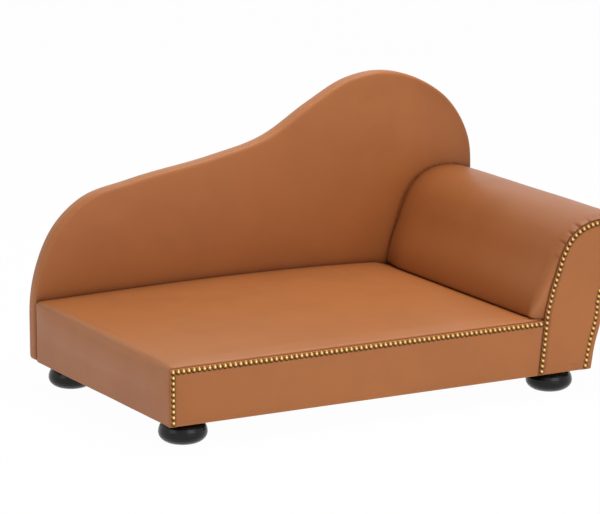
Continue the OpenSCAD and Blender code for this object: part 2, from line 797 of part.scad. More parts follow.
module arm_foam() {
    first = 3;
    last = cove_i - 1;
    // Under the rolled edges the padding keeps below the covering
    ends = [front_former_y, (front_former_y + arm_roll) / 2, arm_roll];
    ys = concat(ends, [seat_d / 2], [for (k = [2 : -1 : 0]) box_rear_y - ends[k]]);
    drawn_in = [for (y = ys)
        let (from_end = min(y, box_rear_y - y, arm_roll))
        rim_inset * (1 - sqrt(1 - ((arm_roll - from_end) / arm_roll) ^ 2))];
    outer = [for (j = [0 : len(ys) - 1])
        let (drawn = ys[j] < seat_d / 2 ? growth : rear_growth)
        ring(part_of(inset(arm_outline(ys[j]),
                           [for (i = [0 : arm_last_i]) skin + min(drawn_in[j] * drawn[i], arm_pad * growth[i] / 2)]),
                     first, last), ys[j])];
    inner = [for (y = ys)
        ring(part_of(inset(arm_outline(y), [for (d = former_depths) d - snug]), first, last), y)];
    color(foam_cream) placed() sheet(outer, inner);
}

module arm_facing() {
    color(hide_tan) placed()
        plate(facing_outline(), 0, facing_t) nail_points(arm_nail_places()) circle(d = nail_shank_d);
}

module arm_nails() {
    color(brass) placed()
        for (p = arm_nail_places()) translate([p.x, 0, p.y]) nail();
}

module at_arm_bolts(x) {
    for (y = arm_bolt_ys) translate([x, y, bolt_z]) rotate([0, 90, 0]) children();
}
module arm_bolts() {
    color(steel) placed() at_arm_bolts(arm_bolt_x) bolt(arm_nut_x + flange_t - arm_bolt_x);
}
module arm_washers() {
    color(steel) placed() at_arm_bolts(arm_bolt_x) washer();
}
module arm_t_nuts() {
    color(steel) placed() at_arm_bolts(arm_nut_x) t_nut();
}

// Feet
stud_depth = foot_h / 2;
module foot(i) {
    r = foot_d / 2;
    belly = foot_h * foot_belly_share;
    lower = foot_h - belly;
    outline = concat(
        [[0, 0], [r * foot_top_share, 0]],
        [for (a = foot_angles)
            a >= 0
            ? [r * (foot_top_share + (1 - foot_top_share) * cos(a)), -belly + belly * sin(a)]
            : [r * (foot_bottom_share + (1 - foot_bottom_share) * cos(a)), -belly + lower * sin(a)]],
        [[0, -foot_h]]
    );
    color(foot_black) placed() translate([foot_places[i].x, foot_places[i].y, 0]) difference() {
        rotate_extrude($fn = 96) polygon(outline);
        translate([0, 0, -stud_depth - gap]) cylinder(h = stud_depth + over + gap, d = bolt_d + bolt_play / 2);
    }
}
module foot_front_left() {
    foot(0);
}
module foot_front_right() {
    foot(1);
}
module foot_rear_left() {
    foot(2);
}
module foot_rear_right() {
    foot(3);
}

// Height of the wood above each foot
function wood_top(i) = rail_z + (i % 2 == 0 ? block_h : rail_t);
module at_feet() {
    for (i = [0 : 3]) translate([foot_places[i].x, foot_places[i].y, 0]) {
        $top = wood_top(i);
        children();
    }
}
module foot_studs() {
    color(steel) placed() at_feet()
        translate([0, 0, -stud_depth]) cylinder(h = stud_depth + $top + flange_t, d = bolt_d);
}
module foot_t_nuts() {
    color(steel) placed() at_feet() translate([0, 0, $top]) t_nut();
}

front_rail();
rear_rail();
left_rail();
right_rail();
centre_rail();
corner_blocks();
seat_deck();
seat_foam();
seat_cover();
front_padding();
front_band();
seat_nails();
dust_cover();
back_board();
back_foam();
back_cover();
back_rear_panel();
back_bolts();
back_washers();
back_t_nuts();
arm_front_former();
arm_rear_former();
arm_base_board();
arm_inner_rail();
arm_stringers();
arm_panel();
arm_outer_board();
arm_foam();
arm_cover();
arm_outer_cover();
arm_rear_panel();
arm_facing();
arm_nails();
arm_bolts();
arm_washers();
arm_t_nuts();
foot_front_left();
foot_front_right();
foot_rear_left();
foot_rear_right();
foot_studs();
foot_t_nuts();
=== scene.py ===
"""Dog sofa bed: the looks of a low chaise with a swept back, one scroll arm, brass nail trim and bun feet.

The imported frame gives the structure. The covering of each upholstered unit is cut as a flat panel, laid over
its form, pressed out by its padding, and finished in tan faux leather. Lengths inside the classes are
millimetres from the front left lower corner of the upholstered box.
"""

import logging
import math
from dataclasses import dataclass
from enum import Enum
from typing import Any, Optional, Union

import bpy
import numpy as np
from mathutils import Euler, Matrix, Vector, noise


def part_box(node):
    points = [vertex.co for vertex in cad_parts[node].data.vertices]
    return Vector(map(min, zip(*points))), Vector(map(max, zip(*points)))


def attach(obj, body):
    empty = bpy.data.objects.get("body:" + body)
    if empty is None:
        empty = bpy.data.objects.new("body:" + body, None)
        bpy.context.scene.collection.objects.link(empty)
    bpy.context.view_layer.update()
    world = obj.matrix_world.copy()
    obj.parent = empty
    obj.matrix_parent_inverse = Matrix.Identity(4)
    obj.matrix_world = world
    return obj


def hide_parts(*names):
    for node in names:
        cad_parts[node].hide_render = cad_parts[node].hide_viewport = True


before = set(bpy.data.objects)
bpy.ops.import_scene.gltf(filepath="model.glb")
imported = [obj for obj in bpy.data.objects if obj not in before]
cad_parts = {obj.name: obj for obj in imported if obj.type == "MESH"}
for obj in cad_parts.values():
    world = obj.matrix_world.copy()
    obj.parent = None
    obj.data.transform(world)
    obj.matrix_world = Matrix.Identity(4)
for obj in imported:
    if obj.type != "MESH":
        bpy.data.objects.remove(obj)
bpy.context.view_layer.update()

log = logging.getLogger("sofa")

MM = 0.001
ROOT = "root"
PRESSING_FRAMES = 20
Colour = tuple[float, float, float]
Layer = tuple[float, float]
Wave = tuple[float, float, float]
Names = tuple[str, ...]


# ---------------------------------------------------------------- lines and surfaces


def eased(t: Any) -> Any:
    """Smooth step from 0 to 1."""
    c = np.clip(t, 0.0, 1.0)
    return c * c * (3 - 2 * c)


def unit(v: np.ndarray) -> np.ndarray:
    """The same direction with length 1, row by row."""
    return v / np.maximum(np.linalg.norm(v, axis=-1, keepdims=True), 1e-12)


def flowing(knots: np.ndarray, first: Any, last: Any, steps: int = 24) -> np.ndarray:
    """A smooth line through knots.

    Args:
        knots: The points, one a row.
        first: Direction at the first knot.
        last: Direction at the last knot.
        steps: Points in each stretch between two knots.

    Returns:
        The line's points, one a row.
    """
    k = np.asarray(knots, float)
    chords = np.diff(k, axis=0)
    lengths = np.linalg.norm(chords, axis=1)
    way = unit(chords)
    heads = np.zeros_like(k)
    heads[0], heads[-1] = unit(np.array(first, float)), unit(np.array(last, float))
    heads[1:-1] = unit(way[:-1] * lengths[1:, None] + way[1:] * lengths[:-1, None])
    t = (np.arange(steps) / steps)[:, None]
    line = []
    for i, reach in enumerate(lengths):
        line.append(
            (2 * t**3 - 3 * t**2 + 1) * k[i]
            + (t**3 - 2 * t**2 + t) * heads[i] * reach
            + (3 * t**2 - 2 * t**3) * k[i + 1]
            + (t**3 - t**2) * heads[i + 1] * reach
        )
    return np.concatenate(line + [k[-1:]])


def lengths_along(path: np.ndarray) -> np.ndarray:
    """The distance of each point from the path's start, along it."""
    return np.concatenate([[0.0], np.cumsum(np.linalg.norm(np.diff(path, axis=0), axis=1))])


def resampled(path: np.ndarray, count: int) -> np.ndarray:
    """The same path in evenly spaced points.

    Args:
        path: Points, one a row.
        count: How many points the new path has.

    Returns:
        The new points.
    """
    s = lengths_along(path)
    at = np.linspace(0, s[-1], count)
    return np.stack([np.interp(at, s, path[:, i]) for i in range(path.shape[1])], axis=1)


def calmed(path: np.ndarray, reach: float) -> np.ndarray:
    """Evens out the bends of a finely spaced path and keeps its ends.

    Args:
        path: Evenly spaced points.
        reach: How far along the path the evening reaches.

    Returns:
        As many points.
    """
    step = lengths_along(path)[-1] / (len(path) - 1)
    half = min(int(3 * reach / step) + 1, len(path) - 1)
    weights = np.exp(-0.5 * (np.arange(-half, half + 1) * step / reach) ** 2)
    weights /= weights.sum()
    before = 2 * path[0] - path[half:0:-1]
    after = 2 * path[-1] - path[-2 : -half - 2 : -1]
    long = np.concatenate([before, path, after])
    return np.stack([np.convolve(long[:, i], weights, "valid") for i in range(path.shape[1])], axis=1)


def inward(path: np.ndarray, closed: bool = False) -> np.ndarray:
    """Directions into the outline, at each point of a path with its inside to the right.

    Args:
        path: Points in X and Z.
        closed: True if the last point leads to the first.

    Returns:
        One direction a point, lengthened where the path turns.
    """
    ahead = np.roll(path, -1, axis=0) - path
    behind = path - np.roll(path, 1, axis=0)
    if not closed:
        ahead[-1], behind[0] = behind[-1], ahead[0]
    a, b = unit(ahead), unit(behind)
    right_a = np.stack([a[:, 1], -a[:, 0]], axis=1)
    right_b = np.stack([b[:, 1], -b[:, 0]], axis=1)
    m = unit(right_a + right_b)
    return m / np.maximum(np.sum(m * right_b, axis=1, keepdims=True), 0.5)


def inset(path: np.ndarray, depth: Any, closed: bool = False) -> np.ndarray:
    """The path moved into the outline by a depth, or by one depth a point."""
    d = np.broadcast_to(np.asarray(depth, float), (len(path),))
    return path + inward(path, closed) * d[:, None]


def patch(bottom: np.ndarray, top: np.ndarray, left: np.ndarray, right: np.ndarray) -> np.ndarray:
    """A grid of points between four sides that meet at their corners.

    Args:
        bottom: Side from the left to the right.
        top: Opposite side, as many points.
        left: Side from the bottom to the top.
        right: Opposite side, as many points.

    Returns:
        Rows of points from the bottom to the top.
    """
    u = np.linspace(0, 1, len(bottom))[None, :, None]
    v = np.linspace(0, 1, len(left))[:, None, None]
    ruled = (1 - v) * bottom[None] + v * top[None] + (1 - u) * left[:, None] + u * right[:, None]
    corners = (1 - u) * (1 - v) * bottom[0] + u * (1 - v) * bottom[-1] + (1 - u) * v * top[0] + u * v * top[-1]
    return ruled - corners


def filled(ring: np.ndarray, depth: float, up: int, across: int) -> np.ndarray:
    """A grid of points over a closed outline, drawn in by a depth.

    Args:
        ring: The outline, clockwise from its lower left corner: up, over, down and back.
        depth: How far the grid's border keeps from it.
        up: Steps along each side.
        across: Steps along the top and the bottom.

    Returns:
        Rows of points from the bottom to the top.
    """
    core = inset(ring, depth, closed=True)
    left, top = core[: up + 1], core[up : up + across + 1]
    right = core[up + across : 2 * up + across + 1][::-1]
    bottom = np.concatenate([core[2 * up + across :], core[:1]])[::-1]
    return patch(bottom, top, left, right)


def at_depth(path: np.ndarray, y: Any) -> np.ndarray:
    """Points in X and Z, set at a place in Y."""
    return np.stack([path[..., 0], np.broadcast_to(y, path.shape[:-1]), path[..., 1]], axis=-1)


def inside(points: np.ndarray, outline: np.ndarray) -> np.ndarray:
    """Which points in X and Z lie within a closed outline.

    Args:
        points: The points, one a row.
        outline: The outline's corners, one a row.

    Returns:
        True or False for each point.
    """
    x, z = points[:, 0], points[:, 1]
    hits = np.zeros(len(points), int)
    for a, b in zip(outline, np.roll(outline, -1, axis=0)):
        if a[1] != b[1]:
            crosses = (a[1] > z) != (b[1] > z)
            hits += crosses & (x < (b[0] - a[0]) * (z - a[1]) / (b[1] - a[1]) + a[0])
    return hits % 2 == 1


def fading(away: Any, *layers: Layer) -> Any:
    """A shade that fades with the distance from where two pieces meet.

    Args:
        away: The distance, or one a point. Below 0 it counts as 0.
        layers: The strength of each layer of shade, and the distance at which a third of it is left.

    Returns:
        The layers' sum.
    """
    return sum(strength * np.exp(-np.maximum(away, 0) / reach) for strength, reach in layers)


def rolled_in(face: float, radius: float, count: int) -> list[tuple[float, float]]:
    """The lines of a covering that rolls over a front edge.

    Args:
        face: Depth of the face in front.
        radius: Radius of the edge.
        count: How many lines there are.

    Returns:
        The depth of each line and how far it is drawn in, from the face backwards.
    """
    turn = np.radians(np.linspace(90, 0, count))
    return [(face + radius - radius * math.sin(a), radius - radius * math.cos(a)) for a in turn]


def rolled_out(rear: float, radius: float, drawn: float, count: int) -> list[tuple[float, float]]:
    """The lines of a covering that rolls over a rear edge, without the line before the edge.

    Args:
        rear: Depth of the face behind.
        radius: How far before it the edge begins.
        drawn: How far the last line is drawn in.
        count: How many lines there are.

    Returns:
        The depth of each line and how far it is drawn in, up to the rear.
    """
    turn = np.radians(np.linspace(0, 90, count + 1))[1:]
    return [(rear - radius + radius * math.sin(a), drawn - drawn * math.cos(a)) for a in turn]


def nearest(points: np.ndarray, places: np.ndarray) -> np.ndarray:
    """How far each point lies, in X and Z, from the nearest of some places."""
    return np.sqrt(((points[:, None, [0, 2]] - places[None]) ** 2).sum(2)).min(1)


def rolling(points: np.ndarray, *waves: Wave) -> np.ndarray:
    """Slow, even unevenness of hand-laid padding.

    Args:
        points: Places in millimetres.
        waves: The height of each wave, the distance over which it rises and falls, and a seed that shifts it,
            so that no two pieces share it.

    Returns:
        One height a point.
    """
    total = np.zeros(len(points))
    for height, size, seed in waves:
        by = Vector((seed, seed * 0.7, -seed))
        total += height * np.array([noise.noise(Vector(p) / size + by) for p in points])
    return total


# ---------------------------------------------------------------- panels


class Sofa:
    """Where the sofa's own millimetres lie in the row frame."""

    corner = np.array(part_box("front_band")[0])

    @classmethod
    def placed(cls, points: np.ndarray) -> np.ndarray:
        """The points in metres, in the row frame."""
        return np.asarray(points, float) * MM + cls.corner

    @classmethod
    def measured(cls, points: np.ndarray) -> np.ndarray:
        """Points of the row frame in the sofa's own millimetres."""
        return (points - cls.corner) / MM


class Panel:
    """A piece of covering, cut as a flat grid and laid over its form."""

    def __init__(self, name: str, grid: np.ndarray) -> None:
        """Cuts the panel.

        Args:
            name: Name of the piece.
            grid: Rows of points in millimetres, with columns times rows pointing outwards.
        """
        rows, columns = grid.shape[:2]
        bpy.ops.object.select_all(action="DESELECT")
        bpy.ops.mesh.primitive_grid_add(x_subdivisions=columns - 1, y_subdivisions=rows - 1, size=1)
        self.piece = bpy.context.object
        self.piece.name = self.piece.data.name = name
        self.points = grid.reshape(-1, 3)

    @property
    def points(self) -> np.ndarray:
        """The places of the panel's vertices.

        Returns:
            Points in millimetres, one a row.
        """
        co = np.zeros(len(self.piece.data.vertices) * 3, np.float32)
        self.piece.data.vertices.foreach_get("co", co)
        return Sofa.measured(co.reshape(-1, 3).astype(float))

    @points.setter
    def points(self, places: np.ndarray) -> None:
        """Moves every vertex to its place."""
        self.piece.data.vertices.foreach_set("co", Sofa.placed(places).astype(np.float32).ravel())
        self.piece.data.update()

    @property
    def normals(self) -> np.ndarray:
        """The outward direction at each vertex.

        Returns:
            Directions of length 1, one a row.
        """
        n = np.zeros(len(self.piece.data.vertices) * 3, np.float32)
        self.piece.data.vertex_normals.foreach_get("vector", n)
        return n.reshape(-1, 3).astype(float)

    def active(self) -> bpy.types.Object:
        """Makes this the one selected and active object.

        Returns:
            The object.
        """
        bpy.ops.object.select_all(action="DESELECT")
        self.piece.select_set(True)
        bpy.context.view_layer.objects.active = self.piece
        return self.piece

    def border(self) -> None:
        """Selects the panel's open border in edit mode."""
        self.active()
        bpy.ops.object.mode_set(mode="EDIT")
        bpy.ops.mesh.select_mode(type="EDGE")
        bpy.ops.mesh.select_all(action="DESELECT")
        bpy.ops.mesh.select_non_manifold(
            extend=False, use_wire=False, use_boundary=True, use_multi_face=False,
            use_non_contiguous=False, use_verts=False,
        )

    def turn_edge(self, old: np.ndarray, rings: list[np.ndarray]) -> None:
        """Extrudes the panel's border ring by ring, as a covering is turned over an edge.

        Args:
            old: The border's present points.
            rings: The places of the border after each step, point by point as in old.
        """
        for new in rings:
            count = len(self.piece.data.vertices)
            self.border()
            bpy.ops.mesh.extrude_region_move()
            bpy.ops.object.mode_set(mode="OBJECT")
            places = self.points
            twins = np.argmin(((places[count:, None] - old[None]) ** 2).sum(2), axis=1)
            places[count:] = new[twins]
            self.points = places
            old = new

    @classmethod
    def turned(cls, name: str, ring: np.ndarray, counts: tuple[int, int], steps: list[tuple[float, float]],
               behind: bool = False) -> "Panel":
        """Lays a flat panel over a closed outline and turns its edge over.

        Args:
            name: Name of the piece.
            ring: The outline, clockwise from its lower left corner: up, over, down and back.
            counts: Steps up each side of the panel, and across its top and its bottom.
            steps: The panel's depth and how far it keeps inside the outline, then both for each line of its edge.
            behind: True if it faces the rear.

        Returns:
            The panel.
        """
        lines = [at_depth(inset(ring, drawn, closed=True), y) for y, drawn in steps]
        grid = at_depth(filled(ring, steps[0][1], *counts), steps[0][0])
        panel = cls(name, grid[:, ::-1] if behind else grid)
        panel.turn_edge(lines[0], lines[1:])
        return panel

    def close_behind(self) -> None:
        """Closes the open border with one flat face."""
        self.border()
        bpy.ops.mesh.edge_face_add()
        bpy.ops.object.mode_set(mode="OBJECT")

    def press_out(self, held: np.ndarray, pressure: float, cap: float) -> None:
        """Lets the padding press the covering out, by cloth simulation.

        Args:
            held: True for each vertex that is nailed, stapled or backed.
            pressure: Push of the padding.
            cap: How far a point may move, in millimetres.
        """
        piece, before = self.active(), self.points
        group = piece.vertex_groups.new(name="held")
        group.add([int(i) for i in np.flatnonzero(held)], 1.0, "REPLACE")
        cloth = piece.modifiers.new("Padding", "CLOTH")
        settings = cloth.settings
        settings.quality = 6
        settings.mass = 0.4
        settings.tension_stiffness = settings.compression_stiffness = 40
        settings.shear_stiffness = 20
        settings.bending_stiffness = 2
        settings.use_pressure = True
        settings.uniform_pressure_force = pressure
        settings.vertex_group_mass = group.name
        settings.effector_weights.gravity = 0
        cloth.collision_settings.use_collision = False
        cloth.point_cache.frame_start, cloth.point_cache.frame_end = 1, PRESSING_FRAMES
        for step in range(1, PRESSING_FRAMES + 1):
            bpy.context.scene.frame_set(step)
        bpy.ops.object.modifier_apply(modifier=cloth.name)
        bpy.context.scene.frame_set(1)
        piece.vertex_groups.clear()
        moved = self.points - before
        far = np.linalg.norm(moved, axis=1, keepdims=True)
        self.points = before + moved * np.minimum(1, cap / np.maximum(far, 1e-9))
        log.info("%s: padding moved it by up to %.1f mm", piece.name, min(far.max(), cap))

    def refine(self) -> None:
        """Divides each face in four, by a subdivision surface."""
        piece = self.active()
        smooth = piece.modifiers.new("Fine", "SUBSURF")
        smooth.levels = smooth.render_levels = 1
        smooth.boundary_smooth = "PRESERVE_CORNERS"
        bpy.ops.object.modifier_apply(modifier=smooth.name)

    def shift(self, amounts: np.ndarray) -> None:
        """Moves each vertex outwards by its own amount in millimetres."""
        self.points = self.points + self.normals * amounts[:, None]

    def thicken(self, thickness: float) -> None:
        """Gives the covering its thickness, inwards, and shades it smooth.

        Args:
            thickness: The thickness in millimetres.
        """
        piece = self.active()
        wall = piece.modifiers.new("Hide", "SOLIDIFY")
        wall.thickness = thickness * MM
        wall.offset = -1
        bpy.ops.object.modifier_apply(modifier=wall.name)
        self.smooth()

    def smooth(self, angle: float = 40) -> None:
        """Shades it smooth up to an angle."""
        self.active()
        bpy.ops.object.shade_smooth_by_angle(angle=math.radians(angle))

    def deepen(self, name: str, values: np.ndarray) -> None:
        """Stores a number a vertex for the finish to read."""
        attribute = self.piece.data.attributes.new(name, "FLOAT", "POINT")
        attribute.data.foreach_set("value", values.astype(np.float32))

    def read(self, name: str) -> np.ndarray:
        """The numbers that were stored under a name.

        Args:
            name: The name.

        Returns:
            One number a vertex.
        """
        values = np.zeros(len(self.piece.data.vertices), np.float32)
        self.piece.data.attributes[name].data.foreach_get("value", values)
        return values.astype(float)

    def done(self, finish: bpy.types.Material, slot: str, *nodes: str) -> bpy.types.Object:
        """Dresses the piece and puts it in the place of its CAD nodes.

        Args:
            finish: Its material.
            slot: The record's slot for its finish. It is not used.
            nodes: The CAD nodes that it stands for.

        Returns:
            The piece.
        """
        self.piece.data.materials.clear()
        self.piece.data.materials.append(finish)
        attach(self.piece, ROOT)
        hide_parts(*nodes)
        log.info("%s: %d faces, for %s", self.piece.name, len(self.piece.data.polygons), ", ".join(nodes))
        return self.piece


# ---------------------------------------------------------------- finishes


class Value:
    """A shader socket that adds Math nodes when it stands in a sum."""

    def __init__(self, recipe: "Recipe", socket: bpy.types.NodeSocket) -> None:
        """Wraps the socket of a recipe."""
        self.recipe, self.socket = recipe, socket

    def _maths(self, operation: str, other: Any) -> "Value":
        """A Math node on this value and another, as a value."""
        return self.recipe.value("ShaderNodeMath", 0, {"operation": operation}, Value=self, Value_001=other)

    def __add__(self, other: Any) -> "Value":
        """Sum."""
        return self._maths("ADD", other)

    def __mul__(self, other: Any) -> "Value":
        """Product."""
        return self._maths("MULTIPLY", other)

    def within(self, low: float, high: float) -> "Value":
        """A smooth rise from 0 to 1.

        Args:
            low: Where it begins.
            high: Where it ends. It may lie below low.

        Returns:
            0 on the side of low, 1 on the side of high, and the rise between.
        """
        return self.recipe.value(
            "ShaderNodeMapRange", 0, {"interpolation_type": "SMOOTHSTEP"},
            Value=self, **{"From Min": low, "From Max": high},
        )


class Recipe:
    """The node tree of one finish, built from named parts."""

    def __init__(self, owner: Union[str, bpy.types.World]) -> None:
        """Starts an empty tree.

        Args:
            owner: The name of a new material, or the world.
        """
        self.owner = bpy.data.materials.new(owner) if isinstance(owner, str) else owner
        self.owner.use_nodes = True
        self.tree = self.owner.node_tree
        self.tree.nodes.clear()

    def node(self, kind: str, settings: Optional[dict[str, Any]] = None, **inputs: Any) -> bpy.types.Node:
        """Adds a node.

        Args:
            kind: The node's type.
            settings: Its own settings, which are set first.
            inputs: Numbers, colours or values for its sockets, by name or identifier.

        Returns:
            The node.
        """
        made = self.tree.nodes.new(kind)
        for key, value in (settings or {}).items():
            setattr(made, key, value)
        for key, value in inputs.items():
            socket = next(s for s in made.inputs if s.enabled and key in (s.identifier, s.name))
            if isinstance(value, Value):
                value = value.socket
            if isinstance(value, bpy.types.NodeSocket):
                self.tree.links.new(value, socket)
            elif isinstance(value, tuple) and socket.type == "RGBA":
                socket.default_value = (*value, 1.0)
            else:
                socket.default_value = value
        return made

    def value(self, kind: str, output: Union[str, int] = 0, settings: Optional[dict[str, Any]] = None,
              **inputs: Any) -> Value:
        """Adds a node and gives one of its outputs as a value."""
        return Value(self, self.node(kind, settings, **inputs).outputs[output])

    def place(self) -> Value:
        """Object coordinates, in metres."""
        return self.value("ShaderNodeTexCoord", "Object")

    def noise(self, place: Value, scale: float, detail: float, roughness: float = 0.5) -> Value:
        """Irregular clouds or specks, from 0 to 1.

        Args:
            place: Coordinates in metres.
            scale: Repeats a metre.
            detail: How many finer layers it has.
            roughness: How strong those are.

        Returns:
            The value.
        """
        return self.value("ShaderNodeTexNoise", "Fac", Vector=place, Scale=scale, Detail=detail, Roughness=roughness)

    def mixed(self, share: Any, a: Any, b: Any) -> Value:
        """Two colours mixed.

        Args:
            share: How much of b.
            a: A colour.
            b: A colour.

        Returns:
            The colour.
        """
        return self.value(
            "ShaderNodeMix", 2, {"data_type": "RGBA", "blend_type": "MIX"},
            Factor_Float=share, A_Color=a, B_Color=b,
        )

    def finished(self, normal: Value, **inputs: Any) -> bpy.types.Material:
        """Ends the tree in a Principled shader.

        Args:
            normal: The surface's direction.
            inputs: The shader's other sockets, by name.

        Returns:
            The material.
        """
        shader = self.node("ShaderNodeBsdfPrincipled", Normal=normal, **inputs)
        self.node("ShaderNodeOutputMaterial", Surface=shader.outputs[0])
        return self.owner

    def bumped(self, height: Value, strength: float, distance: float) -> Value:
        """A normal that follows a height in metres times distance."""
        return self.value("ShaderNodeBump", Height=height, Strength=strength, Distance=distance)


def rgb(r: int, g: int, b: int) -> Colour:
    """A colour as it is seen on screen, in the shader's own scale."""
    return tuple((c / 255 / 12.92) if c / 255 <= 0.04045 else ((c / 255 + 0.055) / 1.055) ** 2.4 for c in (r, g, b))


class Scale(Enum):
    """How fine a grain is, in repeats a metre."""

    PORES = 1100.0
    GRAIN = 520.0
    CLOUDS = 9.0


@dataclass(frozen=True)
class Hide:
    """Tan faux leather: a fine pebbled grain with a satin sheen, painted shade, darker and redder, in its creases and
    seams, and painted highlights along some edges.

    Attributes:
        name: Name of the material.
        colour: Tone of its open surface.
        deep: Tone of the pores, and of the painted shade in the creases and the seams.
        painted_highlight: Tone of the painted highlight along some edges and towards the seat's front.
        mottled: Share of the tone that is left in its darker clouds.
        mottling, wear, pitting: How strongly the clouds, the painted highlight and the pores show.
        roughness, gloss: Sheen of the surface.
    """

    name: str = "tan_hide_finish"
    colour: Colour = rgb(177, 109, 59)
    deep: Colour = rgb(84, 31, 3)
    painted_highlight: Colour = rgb(188, 122, 70)
    mottled: float = 0.88
    mottling: float = 0.6
    highlight_share: float = 0.6
    pitting: float = 0.10
    roughness: float = 0.42
    gloss: float = 0.3

    def material(self) -> bpy.types.Material:
        """Builds the finish.

        Returns:
            Its material.
        """
        r = Recipe(self.name)
        place = r.place()
        pores = r.value("ShaderNodeTexVoronoi", "Distance", {"feature": "SMOOTH_F1"},
                        Vector=place, Scale=Scale.PORES.value, Smoothness=0.6)
        grain = r.value("ShaderNodeTexVoronoi", "Distance", {"feature": "SMOOTH_F1"},
                        Vector=place, Scale=Scale.GRAIN.value, Smoothness=0.9)
        clouds = r.noise(place, Scale.CLOUDS.value, 3.0, 0.55)
        # Painted shade: each piece stores how deep its vertices lie in the shade of creases, seams, joints and nails,
        # and the tone darkens towards deep there.
        painted_shade = r.value("ShaderNodeAttribute", "Fac", {"attribute_name": "painted_shade"})
        # Painted highlight: the edge numbers lighten the tone along some edges, towards the seat's front and along
        # the band's foot.
        edge = r.value("ShaderNodeAttribute", "Fac", {"attribute_name": "edge"})
        mottled = tuple(c * self.mottled for c in self.colour)
        tone = r.mixed(clouds.within(0.35, 0.7) * self.mottling, self.colour, mottled)
        tone = r.mixed(edge * self.highlight_share, tone, self.painted_highlight)
        tone = r.mixed(pores.within(0.55, 0.15) * self.pitting, tone, self.deep)
        tone = r.mixed(painted_shade, tone, self.deep)
        height = grain * 0.6 + pores * 0.4
        return r.finished(
            r.bumped(height, 0.22, 0.0005),
            **{"Base Color": tone, "Roughness": clouds * 0.10 + (self.roughness - 0.05),
               "Specular IOR Level": self.gloss},
        )


@dataclass(frozen=True)
class Brass:
    """Antique brass: a painted highlight on the crown of each nail where it faces the front and up, and painted shade
    mixed with a brown patina towards its rim and lower side.
    """

    name: str = "antique_brass_finish"
    bright: Colour = rgb(216, 184, 124)
    gold: Colour = rgb(176, 131, 70)
    patina_and_shade: Colour = rgb(64, 37, 12)

    def material(self) -> bpy.types.Material:
        """Builds the finish.

        Returns:
            Its material.
        """
        r = Recipe(self.name)
        place = r.place()
        facing = r.value("ShaderNodeNewGeometry", "Normal")
        front = r.value("ShaderNodeSeparateXYZ", "Y", Vector=facing)
        upper = r.value("ShaderNodeSeparateXYZ", "Z", Vector=facing)
        # Painted highlight where the crown faces the front and up, and painted shade mixed with patina where the nail
        # turns away, towards its rim and lower side.
        crown = front * -0.9 + upper * 0.3
        specks = r.noise(place, 900.0, 4.0, 0.7)
        dark = crown.within(0.86, 0.58) * 0.85 + specks.within(0.45, 0.75) * 0.15
        tone = r.mixed(dark, r.mixed(crown.within(0.945, 0.87), self.bright, self.gold), self.patina_and_shade)
        return r.finished(
            r.bumped(specks, 0.25, 0.0003),
            **{"Base Color": tone, "Metallic": 1.0, "Roughness": dark * 0.3 + 0.22},
        )


@dataclass(frozen=True)
class Zinc:
    """Zinc-plated steel of the bolts, washers and nuts."""

    name: str = "zinc_steel_finish"
    colour: Colour = rgb(196, 198, 200)
    dull: Colour = rgb(160, 164, 168)

    def material(self) -> bpy.types.Material:
        """Builds the finish.

        Returns:
            Its material.
        """
        r = Recipe(self.name)
        spangle = r.value("ShaderNodeTexVoronoi", "Distance", Vector=r.place(), Scale=340.0)
        haze = r.noise(r.place(), 120.0, 5.0)
        tone = r.mixed(haze.within(0.4, 0.7) * 0.4, self.colour, self.dull)
        return r.finished(
            r.bumped(spangle, 0.1, 0.0003),
            **{"Base Color": tone, "Metallic": 1.0, "Roughness": haze * 0.2 + 0.25},
        )


class Grain(Enum):
    """Which way a board's grain runs, as the stretch of its pattern in X, Y and Z."""

    LENGTH = (0.05, 1.0, 1.0)
    DEPTH = (1.0, 0.05, 1.0)
    HEIGHT = (1.0, 1.0, 0.05)


@dataclass(frozen=True)
class Timber:
    """Planed softwood, with its grain along one axis."""

    grain: Grain
    light: Colour = rgb(222, 188, 138)
    dark: Colour = rgb(176, 128, 78)

    def material(self) -> bpy.types.Material:
        """Builds the finish.

        Returns:
            Its material.
        """
        r = Recipe(f"timber_finish_{self.grain.name.lower()}")
        place = r.value("ShaderNodeMapping", Vector=r.place(), Scale=self.grain.value)
        wander = r.value("ShaderNodeTexNoise", "Color", Vector=place, Scale=6.0, Detail=2.0)
        bent = r.value("ShaderNodeMix", 1, {"data_type": "VECTOR"}, Factor_Float=0.06, A_Vector=place,
                       B_Vector=wander)
        rings = r.value("ShaderNodeTexWave", "Fac", {"wave_type": "RINGS", "rings_direction": "X"},
                        Vector=bent, Scale=28.0, Distortion=3.0, Detail=3.0)
        fibre = r.noise(place, 420.0, 3.0)
        tone = r.mixed(rings.within(0.45, 1.0) * 0.8, self.light, self.dark)
        tone = r.mixed(fibre.within(0.5, 0.8) * 0.3, tone, self.dark)
        return r.finished(
            r.bumped(fibre * 0.6 + rings * 0.4, 0.2, 0.0004),
            **{"Base Color": tone, "Roughness": fibre * 0.2 + 0.55},
        )


@dataclass(frozen=True)
class Fibreboard:
    """Pressed fibreboard of the deck and of the arm's panels."""

    name: str = "fibreboard_finish"
    colour: Colour = rgb(168, 132, 92)
    chip: Colour = rgb(118, 86, 54)

    def material(self) -> bpy.types.Material:
        """Builds the finish.

        Returns:
            Its material.
        """
        r = Recipe(self.name)
        chips = r.noise(r.place(), 380.0, 6.0, 0.75)
        tone = r.mixed(chips.within(0.35, 0.7), self.colour, self.chip)
        return r.finished(
            r.bumped(chips, 0.3, 0.0004), **{"Base Color": tone, "Roughness": chips * 0.15 + 0.7},
        )


